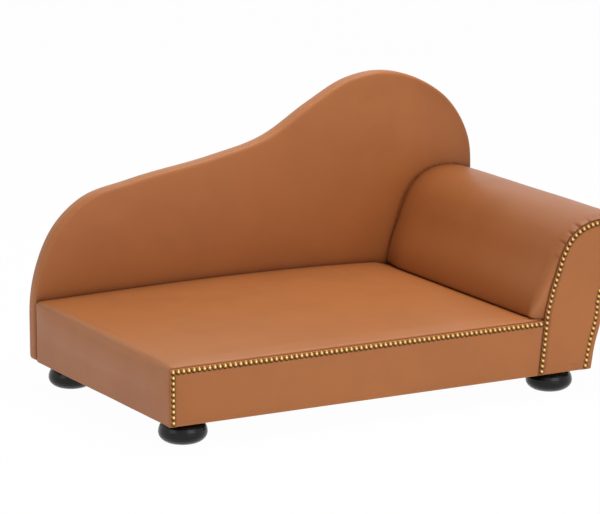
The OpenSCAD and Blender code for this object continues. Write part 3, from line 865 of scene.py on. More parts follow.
@dataclass(frozen=True)
class BlackPaint:
    """Satin black paint on turned wood."""

    name: str = "black_foot_finish"
    colour: Colour = rgb(9, 9, 10)
    rubbed: Colour = rgb(15, 15, 15)

    def material(self) -> bpy.types.Material:
        """Builds the finish.

        Returns:
            Its material.
        """
        r = Recipe(self.name)
        place = r.place()
        peel = r.noise(place, 260.0, 2.0)
        turned = r.noise(r.value("ShaderNodeMapping", Vector=place, Scale=(20.0, 20.0, 900.0)), 1.0, 2.0)
        tone = r.mixed(turned.within(0.4, 0.7) * 0.5, self.colour, self.rubbed)
        return r.finished(
            r.bumped(peel * 0.7 + turned * 0.3, 0.12, 0.0004),
            **{"Base Color": tone, "Roughness": peel * 0.12 + 0.20, "Specular IOR Level": 0.28},
        )


@dataclass(frozen=True)
class Lining:
    """Black non-woven lining under the box: pressed fibres with a fine dimpled pattern."""

    name: str = "lining_finish"
    colour: Colour = rgb(30, 30, 31)
    fibre: Colour = rgb(58, 58, 60)

    def material(self) -> bpy.types.Material:
        """Builds the finish.

        Returns:
            Its material.
        """
        r = Recipe(self.name)
        place = r.place()
        fibres = r.noise(place, 900.0, 5.0, 0.7)
        dots = r.value("ShaderNodeTexVoronoi", "Distance", {"feature": "F1"}, Vector=place, Scale=420.0,
                       Randomness=0.15)
        tone = r.mixed(fibres.within(0.4, 0.75) * 0.7, self.colour, self.fibre)
        return r.finished(
            r.bumped(dots.within(0.1, 0.5) * 0.5 + fibres * 0.5, 0.4, 0.0004),
            **{"Base Color": tone, "Roughness": fibres * 0.1 + 0.85},
        )


# ---------------------------------------------------------------- the box and its seat


@dataclass(frozen=True)
class Stock:
    """Sizes that every unit shares.

    Attributes:
        hide: Thickness of the covering.
        gap: Play between two units.
        lean: Slant of the joint between the seat and the arm, in degrees.
        hem: How far a covering is turned under the box.
        nail_in: Distance of the nails from the edge that they follow.
        nail_pitch: Distance from nail to nail.
        nail_shade: Depth of the shade round a nail.
        nail_edge, nail_fade: Where that shade begins to fade, from the nail's middle, and over what distance.
    """

    hide: float = 1.2
    gap: float = 0.3
    lean: float = 6.0
    hem: float = 18.0
    nail_in: float = 6.0
    nail_pitch: float = 9.7
    nail_shade: float = 0.75
    nail_edge: float = 3.5
    nail_fade: float = 2.4

    @property
    def slope(self) -> float:
        """Run of the joint between the seat and the arm, for each unit of height."""
        return math.tan(math.radians(self.lean))

    def round_nail(self, away: np.ndarray) -> np.ndarray:
        """How deep the hide is in shade, at a distance from the nearest nail's middle."""
        return self.nail_shade * (1 - eased((away - self.nail_edge) / self.nail_fade))


STOCK = Stock()


@dataclass
class Seat:
    """The seat box: its padded top with the soft open end, and the nailed front band.

    Attributes:
        hide: Finish of the coverings.
        length, depth: Size of the box at its underside.
        height: Height of the covering along the front edge.
        rise: How much higher it is along the back.
        crown, crown_share: How far the padding swells up, and where along the length it is fullest.
        end_roll, front_roll, joint_roll, rear_roll: Radius of the covering's edge at the open end, the front,
            the arm and the back.
        joint_drop: How far the top falls beside the arm.
        drop_start, drop_run: How far before the arm that begins, and over what length it falls.
        drop_front: Depth up to which it doesn't fall, and over which it then begins to.
        tuck, rear_tuck: How far the covering is turned in at the front and at the back.
        band_height: Height of the front band.
        deck_top: Height at which the covering ends in the joint.
        fine: Length before the arm that has closer columns.
        held, held_rear: Width of the covering's rim that the padding doesn't move, and its width at the back.
        hem_roll: Radius of the edge at the hem.
        swell: Fullness of the band between its nails.
        waves, band_wave, band_pull: Unevenness of the top and of the band, and the slanting pulls in the band.
        arm_shade, back_shade, joint_shade: Shade beside the arm, along the back and at the band's end.
        highlight_front, highlight_end: Painted highlight, fading in from the front and from the open end.
        band_across, band_up: Columns and rows of the band.
    """

    hide: bpy.types.Material
    length: float = 727.0
    depth: float = 532.0
    height: float = 102.0
    rise: float = 9.5
    crown: float = 7.5
    crown_share: float = 0.575
    end_roll: float = 8.0
    front_roll: float = 4.0
    joint_roll: float = 7.0
    joint_drop: float = 5.0
    drop_start: float = 36.0
    drop_run: float = 30.0
    drop_front: float = 18.0
    rear_roll: float = 5.0
    tuck: float = 5.0
    rear_tuck: float = 5.5
    band_height: float = 98.0
    deck_top: float = 82.0
    fine: float = 40.0
    held: float = 14.0
    held_rear: float = 12.0
    hem_roll: float = 1.0
    swell: float = 0.9
    waves: tuple[Wave, ...] = ((0.55, 130.0, 3.1), (0.25, 55.0, 9.4))
    band_wave: Wave = (0.75, 85.0, 5.7)
    band_pull: Wave = (0.45, 36.0, 2.2)
    arm_shade: Layer = (0.6, 4.0)
    back_shade: tuple[Layer, ...] = ((0.6, 6.0), (0.22, 90.0))
    joint_shade: Layer = (0.8, 1.0)
    highlight_front: Layer = (0.6, 110.0)
    highlight_end: Layer = (1.0, 320.0)
    band_across: int = 246
    band_up: int = 37

    def joint(self, z: Any) -> Any:
        """X of the joint with the arm, at a height."""
        return self.length + z * STOCK.slope

    def top(self, x: Any, y: Any) -> Any:
        """Height of the padded seat at a place. It falls a little towards the arm.

        Args:
            x: The place's X.
            y: Its depth.

        Returns:
            The height there.
        """
        share = np.maximum(x, 0) / self.joint(self.height)
        across = 1 - (2 * share ** (math.log(0.5) / math.log(self.crown_share)) - 1) ** 2
        along = 1 - (1 - y / self.depth) ** 2
        fall = self.joint_drop * eased((x - self.joint(self.height) + self.drop_start) / self.drop_run)
        fall = fall * eased((y - self.drop_front) / self.drop_front)
        return self.height + self.rise * y / self.depth + self.crown * across * along - fall

    def section(self, y: float) -> np.ndarray:
        """The covering's line at a depth.

        Args:
            y: The depth.

        Returns:
            Points in X and Z, from the hem under the open end over the seat into the joint.
        """
        r, turn = self.hem_roll, np.radians(np.linspace(0, 90, 3))
        hem = np.array([[STOCK.hem, 0.0], [6.0, 0.0]])
        foot = np.stack([r - r * np.sin(turn), r - r * np.cos(turn)], axis=1)
        edge = self.top(self.end_roll, y) - self.end_roll
        side = np.stack([np.zeros(10), np.linspace(5, edge - 4, 10)], axis=1)
        turn = np.radians(np.linspace(0, 90, 7))
        roll = np.stack([self.end_roll * (1 - np.cos(turn)), edge + self.end_roll * np.sin(turn)], axis=1)
        last = self.joint(self.height) - STOCK.gap - self.joint_roll
        x = np.concatenate([
            np.linspace(self.end_roll, last - self.fine, 56)[1:], np.linspace(last - self.fine, last, 11)[1:],
        ])
        over = np.stack([x, self.top(x, y)], axis=1)
        turn = np.radians(np.linspace(0, 90 - STOCK.lean, 6))[1:]
        fall = np.stack([
            last + self.joint_roll * np.sin(turn), over[-1, 1] - self.joint_roll * (1 - np.cos(turn)),
        ], axis=1)
        end = np.array([[self.joint(z) - STOCK.gap, z] for z in (86.0, self.deck_top)])
        return np.concatenate([hem, foot, side, roll, over, fall, end])

    def stations(self) -> list[tuple[float, float]]:
        """Depths at which the covering runs.

        Returns:
            Each depth and how far the covering is drawn in there, from the front to the rear.
        """
        face = STOCK.hide + STOCK.gap
        front = [(face, self.tuck)] + rolled_in(face, self.front_roll, 6)
        rear = self.depth - STOCK.gap
        middle = [(y, 0.0) for y in np.linspace(face + self.front_roll, rear - self.rear_roll, 48)[1:]]
        back = rolled_out(rear, self.rear_roll, self.rear_roll, 4)
        return front + middle + back + [(rear, self.rear_tuck)]

    def covering(self) -> bpy.types.Object:
        """The seat's covering with its padding.

        Returns:
            The piece.
        """
        grid = np.stack([at_depth(inset(self.section(y), d), y) for y, d in self.stations()])
        panel = Panel("seat_covering", grid)
        p = panel.points
        free = (p[:, 2] > 0.5 * self.height) & (p[:, 1] > self.held) & (p[:, 1] < self.depth - self.held_rear)
        free &= p[:, 0] < self.joint(self.height) - self.held
        panel.press_out(~free, pressure=6.0, cap=2.5)
        panel.refine()
        p = panel.points
        flat = eased((p[:, 1] - 4) / 30) * eased((self.depth - p[:, 1]) / 20)
        flat *= eased((self.joint(self.height) - 4 - p[:, 0]) / 30)
        panel.shift(flat * rolling(p, *self.waves))
        panel.thicken(STOCK.hide)
        p = panel.points
        x, y, z = p.T
        # Painted shade beside the arm, along the back, and in the seam over the band.
        close = fading(self.joint(z) - 12 - x, self.arm_shade) + fading(self.depth - y, *self.back_shade)
        seam = (y < 3.6) * np.exp(-(((z - self.band_height) / 1.2) ** 2))
        panel.deepen("painted_shade", np.clip(close * (z > 60) * (x > 1) + 0.8 * seam, 0, 0.85))
        # Painted highlight along the open end's top edge, fading in from the front and from the open end.
        painted_highlight = 0.15 * np.exp(-((x - 3) / 6) ** 2) + fading(y, self.highlight_front) * fading(x, self.highlight_end)
        panel.deepen("edge", painted_highlight * (z > self.height - 12) * (x > 1))
        piece = panel.done(self.hide, "tan_hide", "seat_cover", "seat_foam")
        return piece

    def nails(self) -> np.ndarray:
        """Places of the nails on the band, along its top and then down its open end.

        Returns:
            Points in X and Z.
        """
        row_z = self.band_height - STOCK.nail_in
        end = self.joint(row_z) - STOCK.nail_in
        across = round((end - STOCK.nail_in) / STOCK.nail_pitch)
        down = round((row_z - STOCK.nail_in) / STOCK.nail_pitch)
        row = np.stack([np.linspace(STOCK.nail_in, end, across + 1), np.full(across + 1, row_z)], axis=1)
        column = np.stack([np.full(down, STOCK.nail_in), np.linspace(row_z, STOCK.nail_in, down + 1)[1:]], axis=1)
        return np.concatenate([row, column])

    def band(self) -> bpy.types.Object:
        """The front band with its wadding, nailed along its top and its open end.

        Returns:
            The piece.
        """
        r, turn = self.hem_roll, np.radians(np.linspace(0, 90, 3))[1:]
        top, up, across = self.band_height, self.band_up, self.band_across
        z = np.concatenate([[top, top], np.linspace(top - 0.8, r, up)])
        y = np.concatenate([[STOCK.hide, 0.5], np.zeros(up)])
        z = np.concatenate([z, r - r * np.sin(turn), [0.0, 0.0]])
        y = np.concatenate([y, r - r * np.cos(turn), [9.0, STOCK.hem]])
        share = np.linspace(0, 1, across)
        grid = np.stack([
            np.stack([share * (self.joint(h) - STOCK.gap), np.full(across, d), np.full(across, h)], axis=1)
            for h, d in zip(z[::-1], y[::-1])
        ])
        panel = Panel("front_band_covering", grid)
        p = panel.points
        away = nearest(p, self.nails())
        face = (p[:, 1] < 0.4).astype(float)
        puff = eased((away - 4.2) / 6) * eased(p[:, 2] / 9) * eased((self.joint(p[:, 2]) - p[:, 0]) / 8)
        pulled = np.stack([p[:, 0] - 0.9 * p[:, 2], p[:, 1], 0.3 * p[:, 2]], axis=1)
        loose = rolling(p * [1, 1, 1.6], self.band_wave) + rolling(pulled, self.band_pull)
        loose *= eased((away - 6) / 22) * eased(p[:, 2] / 14)
        panel.points = p - np.stack([0 * p[:, 0], face * (self.swell * puff + loose), 0 * p[:, 0]], axis=1)
        panel.thicken(STOCK.hide)
        p = panel.points
        away = nearest(p, self.nails())
        # Painted shade at the joint with the arm and round each nail.
        joint = fading(self.joint(p[:, 2]) - p[:, 0] - 0.6, self.joint_shade)
        panel.deepen("painted_shade", np.maximum(STOCK.round_nail(away) * (p[:, 1] < 1.6), joint))
        # Painted light along the band's foot, lighter towards the floor.
        panel.deepen("edge", 0.5 * (1 - eased(p[:, 2] / 7)))
        piece = panel.done(self.hide, "tan_hide", "front_band", "front_padding")
        return piece


# ---------------------------------------------------------------- the back


@dataclass
class Back:
    """The swept back: a padded face with a rolled edge, and the flat panel that closes its rear.

    Attributes:
        hide: Finish of the coverings.
        seat, arm: The units that stand against it.
        length, height: Size of its outline.
        out: How far it stands out past the box's open end.
        face_y, rear_y: Depth of its face and of its rear.
        front_roll, rear_roll: Radius of its edge in front and behind.
        turned_over: How far each line of the covering lies inside the outline, on the rear.
        corner: Radius of the lower corners.
        across, up: Steps of the face along and up.
        waves, rear_wave: Unevenness of the face and of the rear.
        seat_shade, arm_shade, hump_shade: Shade over the seat, beside the arm and along the hump's edge.
        hump_start, hump_run: Where the hump's shade begins, and over what length it grows.
        knot_shares: Places on the outline, as shares of its length and height.
    """

    hide: bpy.types.Material
    seat: Seat
    arm: "ScrollArm"
    length: float = 927.5
    height: float = 477.5
    out: float = 1.0
    face_y: float = 532.0
    rear_y: float = 560.3
    front_roll: float = 8.0
    rear_roll: float = 5.0
    turned_over: tuple[float, ...] = (11.0, 18.0, 25.0)
    corner: float = 4.0
    across: int = 112
    up: int = 46
    waves: tuple[Wave, ...] = ((0.5, 150.0, 1.3), (0.2, 60.0, 7.7))
    rear_wave: Wave = (0.3, 120.0, 4.2)
    seat_shade: tuple[Layer, ...] = ((0.5, 6.0), (0.28, 80.0))
    arm_shade: tuple[Layer, ...] = ((0.7, 2.2), (0.22, 30.0))
    hump_shade: Layer = (0.32, 28.0)
    hump_start: float = 720.0
    hump_run: float = 120.0
    knot_shares: tuple[tuple[float, float], ...] = (
        (0, 0.1765), (0.0165, 0.3661), (0.0556, 0.5108), (0.1101, 0.5996), (0.2138, 0.6545), (0.3991, 0.7202),
        (0.5085, 0.7745), (0.619, 0.8974), (0.7034, 0.9784), (0.7899, 1), (0.8844, 0.9462), (0.9452, 0.8632),
        (0.9791, 0.7728), (0.9948, 0.6968), (1, 0.5941),
    )

    def sides(self) -> tuple[np.ndarray, np.ndarray, np.ndarray, np.ndarray]:
        """The outline in four sides that meet at its corners.

        Returns:
            The bottom, the top, the left and the right side.
        """
        size = np.array([self.length, self.height])
        curve = flowing(np.array(self.knot_shares) * size, (0, 1), (0, -1))
        curve = calmed(resampled(curve, 900), 7.0)
        r, turn = self.corner, np.radians(np.linspace(0, 90, 13))
        arc = np.stack([r - r * np.cos(turn), r - r * np.sin(turn)], axis=1)
        half = len(arc) // 2
        left_arc = arc[half::-1]
        right_arc = (arc * [-1, 1] + [self.length, 0])[half::-1]
        knee = np.argmin(((curve - np.array(self.knot_shares[3]) * size) ** 2).sum(1))
        shoulder = np.argmin(((curve - np.array(self.knot_shares[11]) * size) ** 2).sum(1))
        left = np.concatenate([left_arc, curve[: knee + 1]])
        right = np.concatenate([right_arc, curve[: shoulder - 1 : -1]])
        bottom = np.concatenate([arc[half:], (arc * [-1, 1] + [self.length, 0])[: half - 1 : -1]])
        top = curve[knee : shoulder + 1]
        by = np.array([-self.out, 0.0])
        return (
            resampled(bottom, self.across + 1) + by, resampled(top, self.across + 1) + by,
            resampled(left, self.up + 1) + by, resampled(right, self.up + 1) + by,
        )

    def ring(self) -> np.ndarray:
        """The outline as one closed ring, clockwise from its lower left corner."""
        bottom, top, left, right = self.sides()
        return np.concatenate([left[:-1], top[:-1], right[:0:-1], bottom[:0:-1]])

    def backed(self, p: np.ndarray) -> np.ndarray:
        """Where the seat or the arm stands against the back.

        Args:
            p: The points to test.

        Returns:
            True or False for each point.
        """
        flat = p[:, [0, 2]]
        by_seat = (flat[:, 1] < self.seat.top(flat[:, 0], self.face_y) + 3) & (flat[:, 0] < self.seat.joint(110))
        outline = self.arm.closed(self.arm.whole(self.face_y)[0], 0.0)
        return by_seat | inside(flat, inset(outline, -3.0, closed=True))

    def covering(self) -> bpy.types.Object:
        """The covering over the padded face and round the edge.

        Returns:
            The piece.
        """
        r, rear = self.front_roll, self.rear_roll
        steps = rolled_in(self.face_y, r, 6) + [(self.rear_y - rear, 0.0)]
        steps += rolled_out(self.rear_y, rear, rear, 4) + [(self.rear_y, turned) for turned in self.turned_over]
        panel = Panel.turned("back_covering", self.ring(), (self.up, self.across), steps)
        p = panel.points
        edge = self.edge_distance(p)
        free = (p[:, 1] < self.face_y + 0.5) & (edge > r + 1) & ~self.backed(p)
        panel.press_out(~free, pressure=5.0, cap=5.0)
        panel.refine()
        p = panel.points
        edge = self.edge_distance(p)
        shown = eased((edge - 6) / 30) * (p[:, 1] < self.face_y + 1) * ~self.backed(p)
        panel.shift(shown * rolling(p, *self.waves))
        panel.thicken(STOCK.hide)
        p = panel.points
        # Painted shade over the seat, beside the arm, and along the hump's edge towards the right.
        over_seat = p[:, 2] - self.seat.top(np.minimum(p[:, 0], self.hump_start), self.face_y)
        beside = nearest(p, resampled(self.arm.whole(self.face_y)[0], 300))
        close = fading(over_seat, *self.seat_shade) * (p[:, 0] < self.seat.joint(150))
        close = np.maximum(close, fading(beside, *self.arm_shade))
        hump = fading(self.edge_distance(p), self.hump_shade) * eased((p[:, 0] - self.hump_start) / self.hump_run)
        panel.deepen("painted_shade", np.clip((close + hump) * (p[:, 1] < self.face_y + 2), 0, 0.8))
        piece = panel.done(self.hide, "tan_hide", "back_cover", "back_foam")
        return piece

    def edge_distance(self, p: np.ndarray) -> np.ndarray:
        """How far each point lies from the outline.

        Args:
            p: The points.

        Returns:
            One distance a point.
        """
        ring = self.ring()
        flat = p[:, [0, 2]]
        best = np.full(len(flat), 1e9)
        for a, b in zip(ring, np.roll(ring, -1, axis=0)):
            d = b - a
            t = np.clip((flat - a) @ d / max(d @ d, 1e-9), 0, 1)
            best = np.minimum(best, ((flat - a - t[:, None] * d) ** 2).sum(1))
        return np.sqrt(best)

    def rear_panel(self) -> bpy.types.Object:
        """The flat panel over the rear, with its edge turned under.

        Returns:
            The piece.
        """
        y, outer = self.rear_y + STOCK.hide, self.rear_roll + STOCK.nail_in
        steps = [(y, outer + 1.0), (y - 0.25, outer + 0.3), (y - 0.7, outer), (y - 0.8, outer)]
        panel = Panel.turned("back_rear_covering", self.ring(), (self.up, self.across), steps, behind=True)
        p = panel.points
        panel.shift(-np.abs(rolling(p, self.rear_wave)) * eased((self.edge_distance(p) - 16) / 30))
        panel.thicken(STOCK.hide * 0.6)
        panel.deepen("painted_shade", np.zeros(len(panel.points)))
        piece = panel.done(self.hide, "tan_hide", "back_rear_panel")
        return piece


# ---------------------------------------------------------------- the arm


@dataclass
class ScrollArm:
    """The padded scroll arm, its outside, the panel behind it and its nailed front panel.

    Attributes:
        hide: Finish of the coverings.
        seat: The seat beside it.
        width: How far the scroll reaches past the seat.
        height: Height of the scroll at the rear.
        fall: How much lower it is at the front.
        roll, roll_power: Depth over which the padding rounds off at both ends, and how squarely at the front.
        facing_inset, facing_thick: How far the front panel lies inside the padding, and its thickness.
        facing_tuck: How far the covering is turned in behind the front panel.
        groove: How far the covering stands out past the front panel's edge.
        start_z: Height at which the covering begins in the joint.
        rail_z: Height of the rear panel's foot.
        lip_flat, lip_round, lip_height: The padding's overhang over the seat: how far it runs out flat, how far it
            then rounds, and the height over which it goes back into the arm.
        lip_rise: Depth over which the overhang grows, from the front edge.
        lip_forward: How far it also comes forward there, as a share of itself.
        ear, ear_height, ear_rise: The fold beside the first nail: its share of the overhang, and the height and
            the depth over which it runs out and grows.
        joint_columns: Columns of the covering in the joint.
        nailed_growth: Fullness at the foot of the line that the nails follow.
        swell: How far the outside swells out near the front panel.
        waves, outer_wave, facing_wave: Unevenness of the scroll, of the outside and of the front panel.
        seat_shade, back_shade, outer_shade: Shade along the seat, along the back, and behind the front panel.
        seam_shade, fold_shade, crown_shade: Depth of painted shade in the seams, in the gathers and over the scroll's
            upward-facing top.
        knot_shares: Places on the section over the scroll, as shares of the width and of the height over the seat.
        outer_shares: Places down the outside, as shares of the width and of the seat's height.
        gathers: Place of each pleat on the front edge, in X and Z, and how deep it is.
    """

    hide: bpy.types.Material
    seat: Seat
    width: float = 238.0
    height: float = 288.5
    fall: float = 14.0
    roll: float = 28.0
    roll_power: float = 1.55
    facing_inset: float = 6.0
    facing_thick: float = 4.0
    facing_tuck: float = 5.0
    groove: float = 0.7
    start_z: float = 53.8
    rail_z: float = 1.5
    lip_flat: float = 10.0
    lip_round: float = 6.0
    lip_height: float = 112.0
    lip_rise: float = 10.0
    lip_forward: float = 0.16
    ear: float = 0.85
    ear_height: float = 34.0
    ear_rise: float = 5.0
    joint_columns: int = 9
    nailed_growth: float = 0.4
    swell: float = 4.4
    waves: tuple[Wave, ...] = ((0.5, 120.0, 6.6), (0.2, 48.0, 2.2))
    outer_wave: Wave = (0.35, 110.0, 8.8)
    facing_wave: Wave = (0.3, 90.0, 2.9)
    seat_shade: tuple[Layer, ...] = ((0.45, 4.0), (0.4, 30.0))
    back_shade: tuple[Layer, ...] = ((0.5, 4.0), (0.2, 30.0))
    outer_shade: Layer = (0.6, 2.0)
    seam_shade: float = 0.72
    fold_shade: float = 0.3
    crown_shade: float = 0.27
    knot_shares: tuple[tuple[float, float], ...] = (
        (0.0504, 0.0912), (0.0609, 0.2273), (0.1176, 0.4671), (0.1798, 0.6895), (0.2483, 0.8328),
        (0.3618, 0.9437), (0.584, 1), (0.819, 0.933), (0.958, 0.7915), (1, 0.5946), (0.941, 0.4054),
        (0.803, 0.2975), (0.664, 0.2547), (0.584, 0.1852),
    )
    outer_shares: tuple[tuple[float, float], ...] = ((0.536, 0.807), (0.487, 0.4271), (0.454, 0.0))
    gathers: tuple[tuple[float, float, float], ...] = (
        (768, 208, 0.7), (778, 234, 1.3), (790, 256, 1.7), (806, 269, 1.5), (829, 279, 1.1), (862, 280, 1.3),
        (897, 273, 1.0), (925, 260, 1.5), (944, 244, 1.3), (957, 222, 1.6), (961, 197, 1.3), (950, 176, 1.4),
        (929, 161, 1.2),
    )

    @property
    def rear(self) -> float:
        """Depth of the arm's rear face."""
        return self.seat.depth - STOCK.gap

    @property
    def strip(self) -> float:
        """Depth of the covering's front edge, just behind the front panel."""
        return self.facing_thick + 0.1

    def inner_rear(self) -> np.ndarray:
        """The section at the rear, from the joint over the scroll into the cove.

        Returns:
            Points in X and Z.
        """
        low = self.seat.height
        z = np.array([self.start_z, low])
        start = np.stack([self.seat.joint(z) + STOCK.gap, z], axis=1)
        lean = math.radians(STOCK.lean)
        over = np.array(self.knot_shares) * [self.width, self.height - low] + [self.seat.length, low]
        line = flowing(np.concatenate([start[1:], over]), (math.sin(lean), math.cos(lean)), (-1, -1.6))
        return np.concatenate([resampled(start, 40)[:-1], calmed(resampled(line, 700), 3.5)])

    def outer_rear(self, swell: float = 0.0) -> np.ndarray:
        """The section at the rear, from the cove down the outside.

        Args:
            swell: How far it is pushed out towards its foot.

        Returns:
            Points in X and Z.
        """
        down = np.array(self.outer_shares) * [self.width, self.seat.height] + [self.seat.length, 0]
        line = resampled(flowing(np.concatenate([self.inner_rear()[-1:], down]), (-0.3, -1), (-0.18, -1)), 200)
        return line + np.stack([swell * eased(lengths_along(line) / 70), 0 * line[:, 0]], axis=1)

    def swell_at(self, y: float) -> float:
        """How far the outside swells out at a depth: only near the front panel."""
        return self.swell * (1 - eased((y - 40) / 160))

    def fallen(self, path: np.ndarray, y: float) -> np.ndarray:
        """A section at another depth: it falls towards the front.

        Args:
            path: The section at the rear.
            y: The depth.

        Returns:
            As many points.
        """
        drop = self.fall * (1 - y / self.seat.depth)
        share = np.maximum(0, path[:, 1] - self.seat.height) / (self.height - self.seat.height)
        return path - np.stack([0 * share, drop * share], axis=1)

    def inner_growth(self, path: np.ndarray) -> np.ndarray:
        """How full the padding is along the section over the scroll, from almost none at the seat.

        Args:
            path: The section.

        Returns:
            One share a point.
        """
        grown = eased((path[:, 1] / self.seat.height - 0.95) / 0.55)
        s = lengths_along(path)
        grown[s > 0.7 * s[-1]] = 1.0
        return np.maximum(0.06, grown)

    def outer_growth(self, path: np.ndarray, least: float = 0.0) -> np.ndarray:
        """How full it is down the outside, to a least share at the foot."""
        return least + (1 - least) * eased(1 - lengths_along(path) / 54)

    def whole(self, y: float, nailed: bool = False) -> tuple[np.ndarray, np.ndarray]:
        """The section at a depth from the joint down to the underside, and how full its padding is.

        Args:
            y: The depth.
            nailed: True for the firm line that the nails follow.

        Returns:
            The section's points and one number a point.
        """
        inner, outer = self.inner_rear(), self.outer_rear(0.0 if nailed else self.swell_at(y))
        least = self.nailed_growth if nailed else 0.0
        grown = np.concatenate([self.inner_growth(inner), self.outer_growth(outer, least)[1:]])
        return np.concatenate([self.fallen(inner, y), self.fallen(outer, y)[1:]]), grown

    def closed(self, path: np.ndarray, z: float) -> np.ndarray:
        """A section with its foot on the underside at the joint.

        Args:
            path: The section.
            z: Height of the underside.

        Returns:
            The section with both of its feet at that height.
        """
        foot = np.array([[path[0, 0] - (path[0, 1] - z) * STOCK.slope, z]])
        last = np.array([[path[-1, 0], z]])
        return np.concatenate([foot, path[:-1], last])

    def stations(self) -> list[tuple[float, float, float]]:
        """Depths at which the covering runs.

        Returns:
            Each depth, how far the covering is drawn in there and how far it is turned over.
        """
        rim, power = self.facing_inset - self.groove, 2 / self.roll_power
        front = [(self.strip, rim, self.facing_tuck), (self.strip, rim, 0.0)]
        front += [
            (self.roll - (self.roll - STOCK.gap) * math.sin(a) ** power, rim - rim * math.cos(a) ** power, 0.0)
            for a in np.radians(np.linspace(90, 0, 12))
        ]
        middle = [(y, 0.0, 0.0) for y in np.linspace(self.roll, self.rear - self.roll, 32)[1:]]
        back = [(y, drawn, 0.0) for y, drawn in rolled_out(self.rear, self.roll, self.facing_inset, 7)]
        return front + middle + back + [(self.rear, self.facing_inset, self.seat.rear_tuck)]

    def laid(self, base: np.ndarray, grown: np.ndarray, station: tuple[float, float, float],
             at: np.ndarray) -> np.ndarray:
        """One line of the covering, drawn in as far as its padding has grown.

        Args:
            base: The section at the rear.
            grown: How full the padding is at each of its points.
            station: The depth, how far the line is drawn in and how far it is turned over.
            at: Where the line's points lie along the section.

        Returns:
            The line's points.
        """
        y, drawn, turned = station
        share = grown * np.abs(unit(inward(base))[:, 0]) if y > self.seat.depth / 2 else grown
        path = inset(self.fallen(base, y), drawn * share + turned * grown)
        depth = self.strip + (y - self.strip) * np.maximum(grown**3, 0.02) if y < self.strip else y
        line, s = at_depth(path, depth), lengths_along(base)
        return np.stack([np.interp(at, s, line[:, i]) for i in range(3)], axis=1)

    def lip_level(self, y: Any) -> Any:
        """Height at which the arm's padding hangs out over the edge of the seat."""
        return self.seat.top(self.seat.joint(0) - 1, y) + 0.7

    def columns(self, base: np.ndarray, y: float) -> tuple[np.ndarray, np.ndarray]:
        """Where the covering's columns lie at a depth.

        Args:
            base: The section at the rear.
            y: The depth.

        Returns:
            Each column's distance along the section, and how far it hangs out over the seat.
        """
        crest = int(np.argmax(base[:, 1]))
        level, s = self.lip_level(y) - 1.2 * (1 - eased((y - 3) / 5)), lengths_along(base)
        height = self.fallen(base, y)[:crest, 1]
        turn = np.radians(np.linspace(0, 90, 6))[1:]
        fade = np.linspace(0, 1, 20)[1:]
        z = np.concatenate([
            np.linspace(self.start_z, level - 0.4, self.joint_columns), np.full(3, level),
            level + self.lip_round * (1 - np.cos(turn)),
            level + self.lip_round + (self.lip_height - self.lip_round) * fade,
        ])
        behind = y - self.strip
        much = self.rounded(behind / self.lip_rise) * (1 - 0.6 * eased((y - self.rear + 65) / 55))
        ear = self.ear * self.rounded(behind / self.ear_rise) * (1 - eased((y - 8) / 28))
        foot = np.concatenate([np.zeros(self.joint_columns), self.lip_flat * np.array([0.33, 0.67, 1.0]),
                               self.lip_flat + self.lip_round * np.sin(turn)])
        full = self.lip_flat + self.lip_round
        over = full * (much * (1 - eased(fade)) + ear * (1 - eased(fade * self.lip_height / self.ear_height)))
        hang = np.concatenate([foot * (much + ear), over])
        low = np.interp(z, height, s[:crest])
        rest = np.linspace(low[-1], s[-1], 134)[1:]
        return np.concatenate([low, rest]), np.concatenate([hang, 0 * rest])

    @staticmethod
    def rounded(share: float) -> float:
        """Rises from 0 to 1 as a quarter of a circle does."""
        return math.sqrt(1 - (1 - min(max(share, 0), 1)) ** 2)

    def pleats(self, s: np.ndarray, y: np.ndarray) -> np.ndarray:
        """Small pleats where the covering is gathered round the front edge, with a puff on each side.

        Args:
            s: Distance of each point along the section.
            y: Depth of each point.

        Returns:
            How far each point is drawn in.
        """
        base = self.inner_rear()
        front, along = self.fallen(base, 0.0), lengths_along(base)
        sunk = np.zeros(len(s))
        for k, (x, z, deep) in enumerate(self.gathers):
            middle = along[np.argmin(((front - [x, z]) ** 2).sum(1))]
            reach = 22 + 5 * math.sin(2.3 * k)
            across = (s - middle - 0.12 * math.sin(1.7 * k + 0.6) * y) / (2.3 + 1.3 * np.clip(y / reach, 0, 1))
            fade = eased((reach - y) / (reach * 0.8)) * eased((y + 3) / 4)
            beside = np.exp(-(((np.abs(across) - 2.6) / 1.2) ** 2))
            sunk += 1.3 * deep * fade * (np.exp(-(across**2)) - 0.3 * beside)
        return sunk

    def covering(self) -> bpy.types.Object:
        """The covering with its padding, from the seat over the scroll into the cove.

        Returns:
            The piece.
        """
        base = self.inner_rear()
        grown, grid, along = self.inner_growth(base), [], []
        for station in self.stations():
            at, hang = self.columns(base, station[0])
            forward = self.lip_forward * (1 - eased((station[0] - 6) / 14))
            grid.append(self.laid(base, grown, station, at) - hang[:, None] * [1, forward, 0])
            along.append(at)
        panel = Panel("arm_covering", np.stack(grid))
        p, s = panel.points, np.concatenate(along)
        free = (p[:, 1] > self.roll) & (p[:, 1] < self.rear - self.roll) & (s > 80) & (s < s.max() - 14)
        panel.press_out(~free, pressure=5.0, cap=2.0)
        panel.deepen("along", s)
        panel.refine()
        p, s = panel.points, panel.read("along")
        slow = eased((p[:, 1] - 20) / 40) * eased((self.rear - 10 - p[:, 1]) / 25) * eased((s - 60) / 40)
        panel.shift(slow * rolling(p, *self.waves) - self.pleats(s, p[:, 1]))
        panel.thicken(STOCK.hide)
        p, s = panel.points, panel.read("along")
        y = p[:, 1]
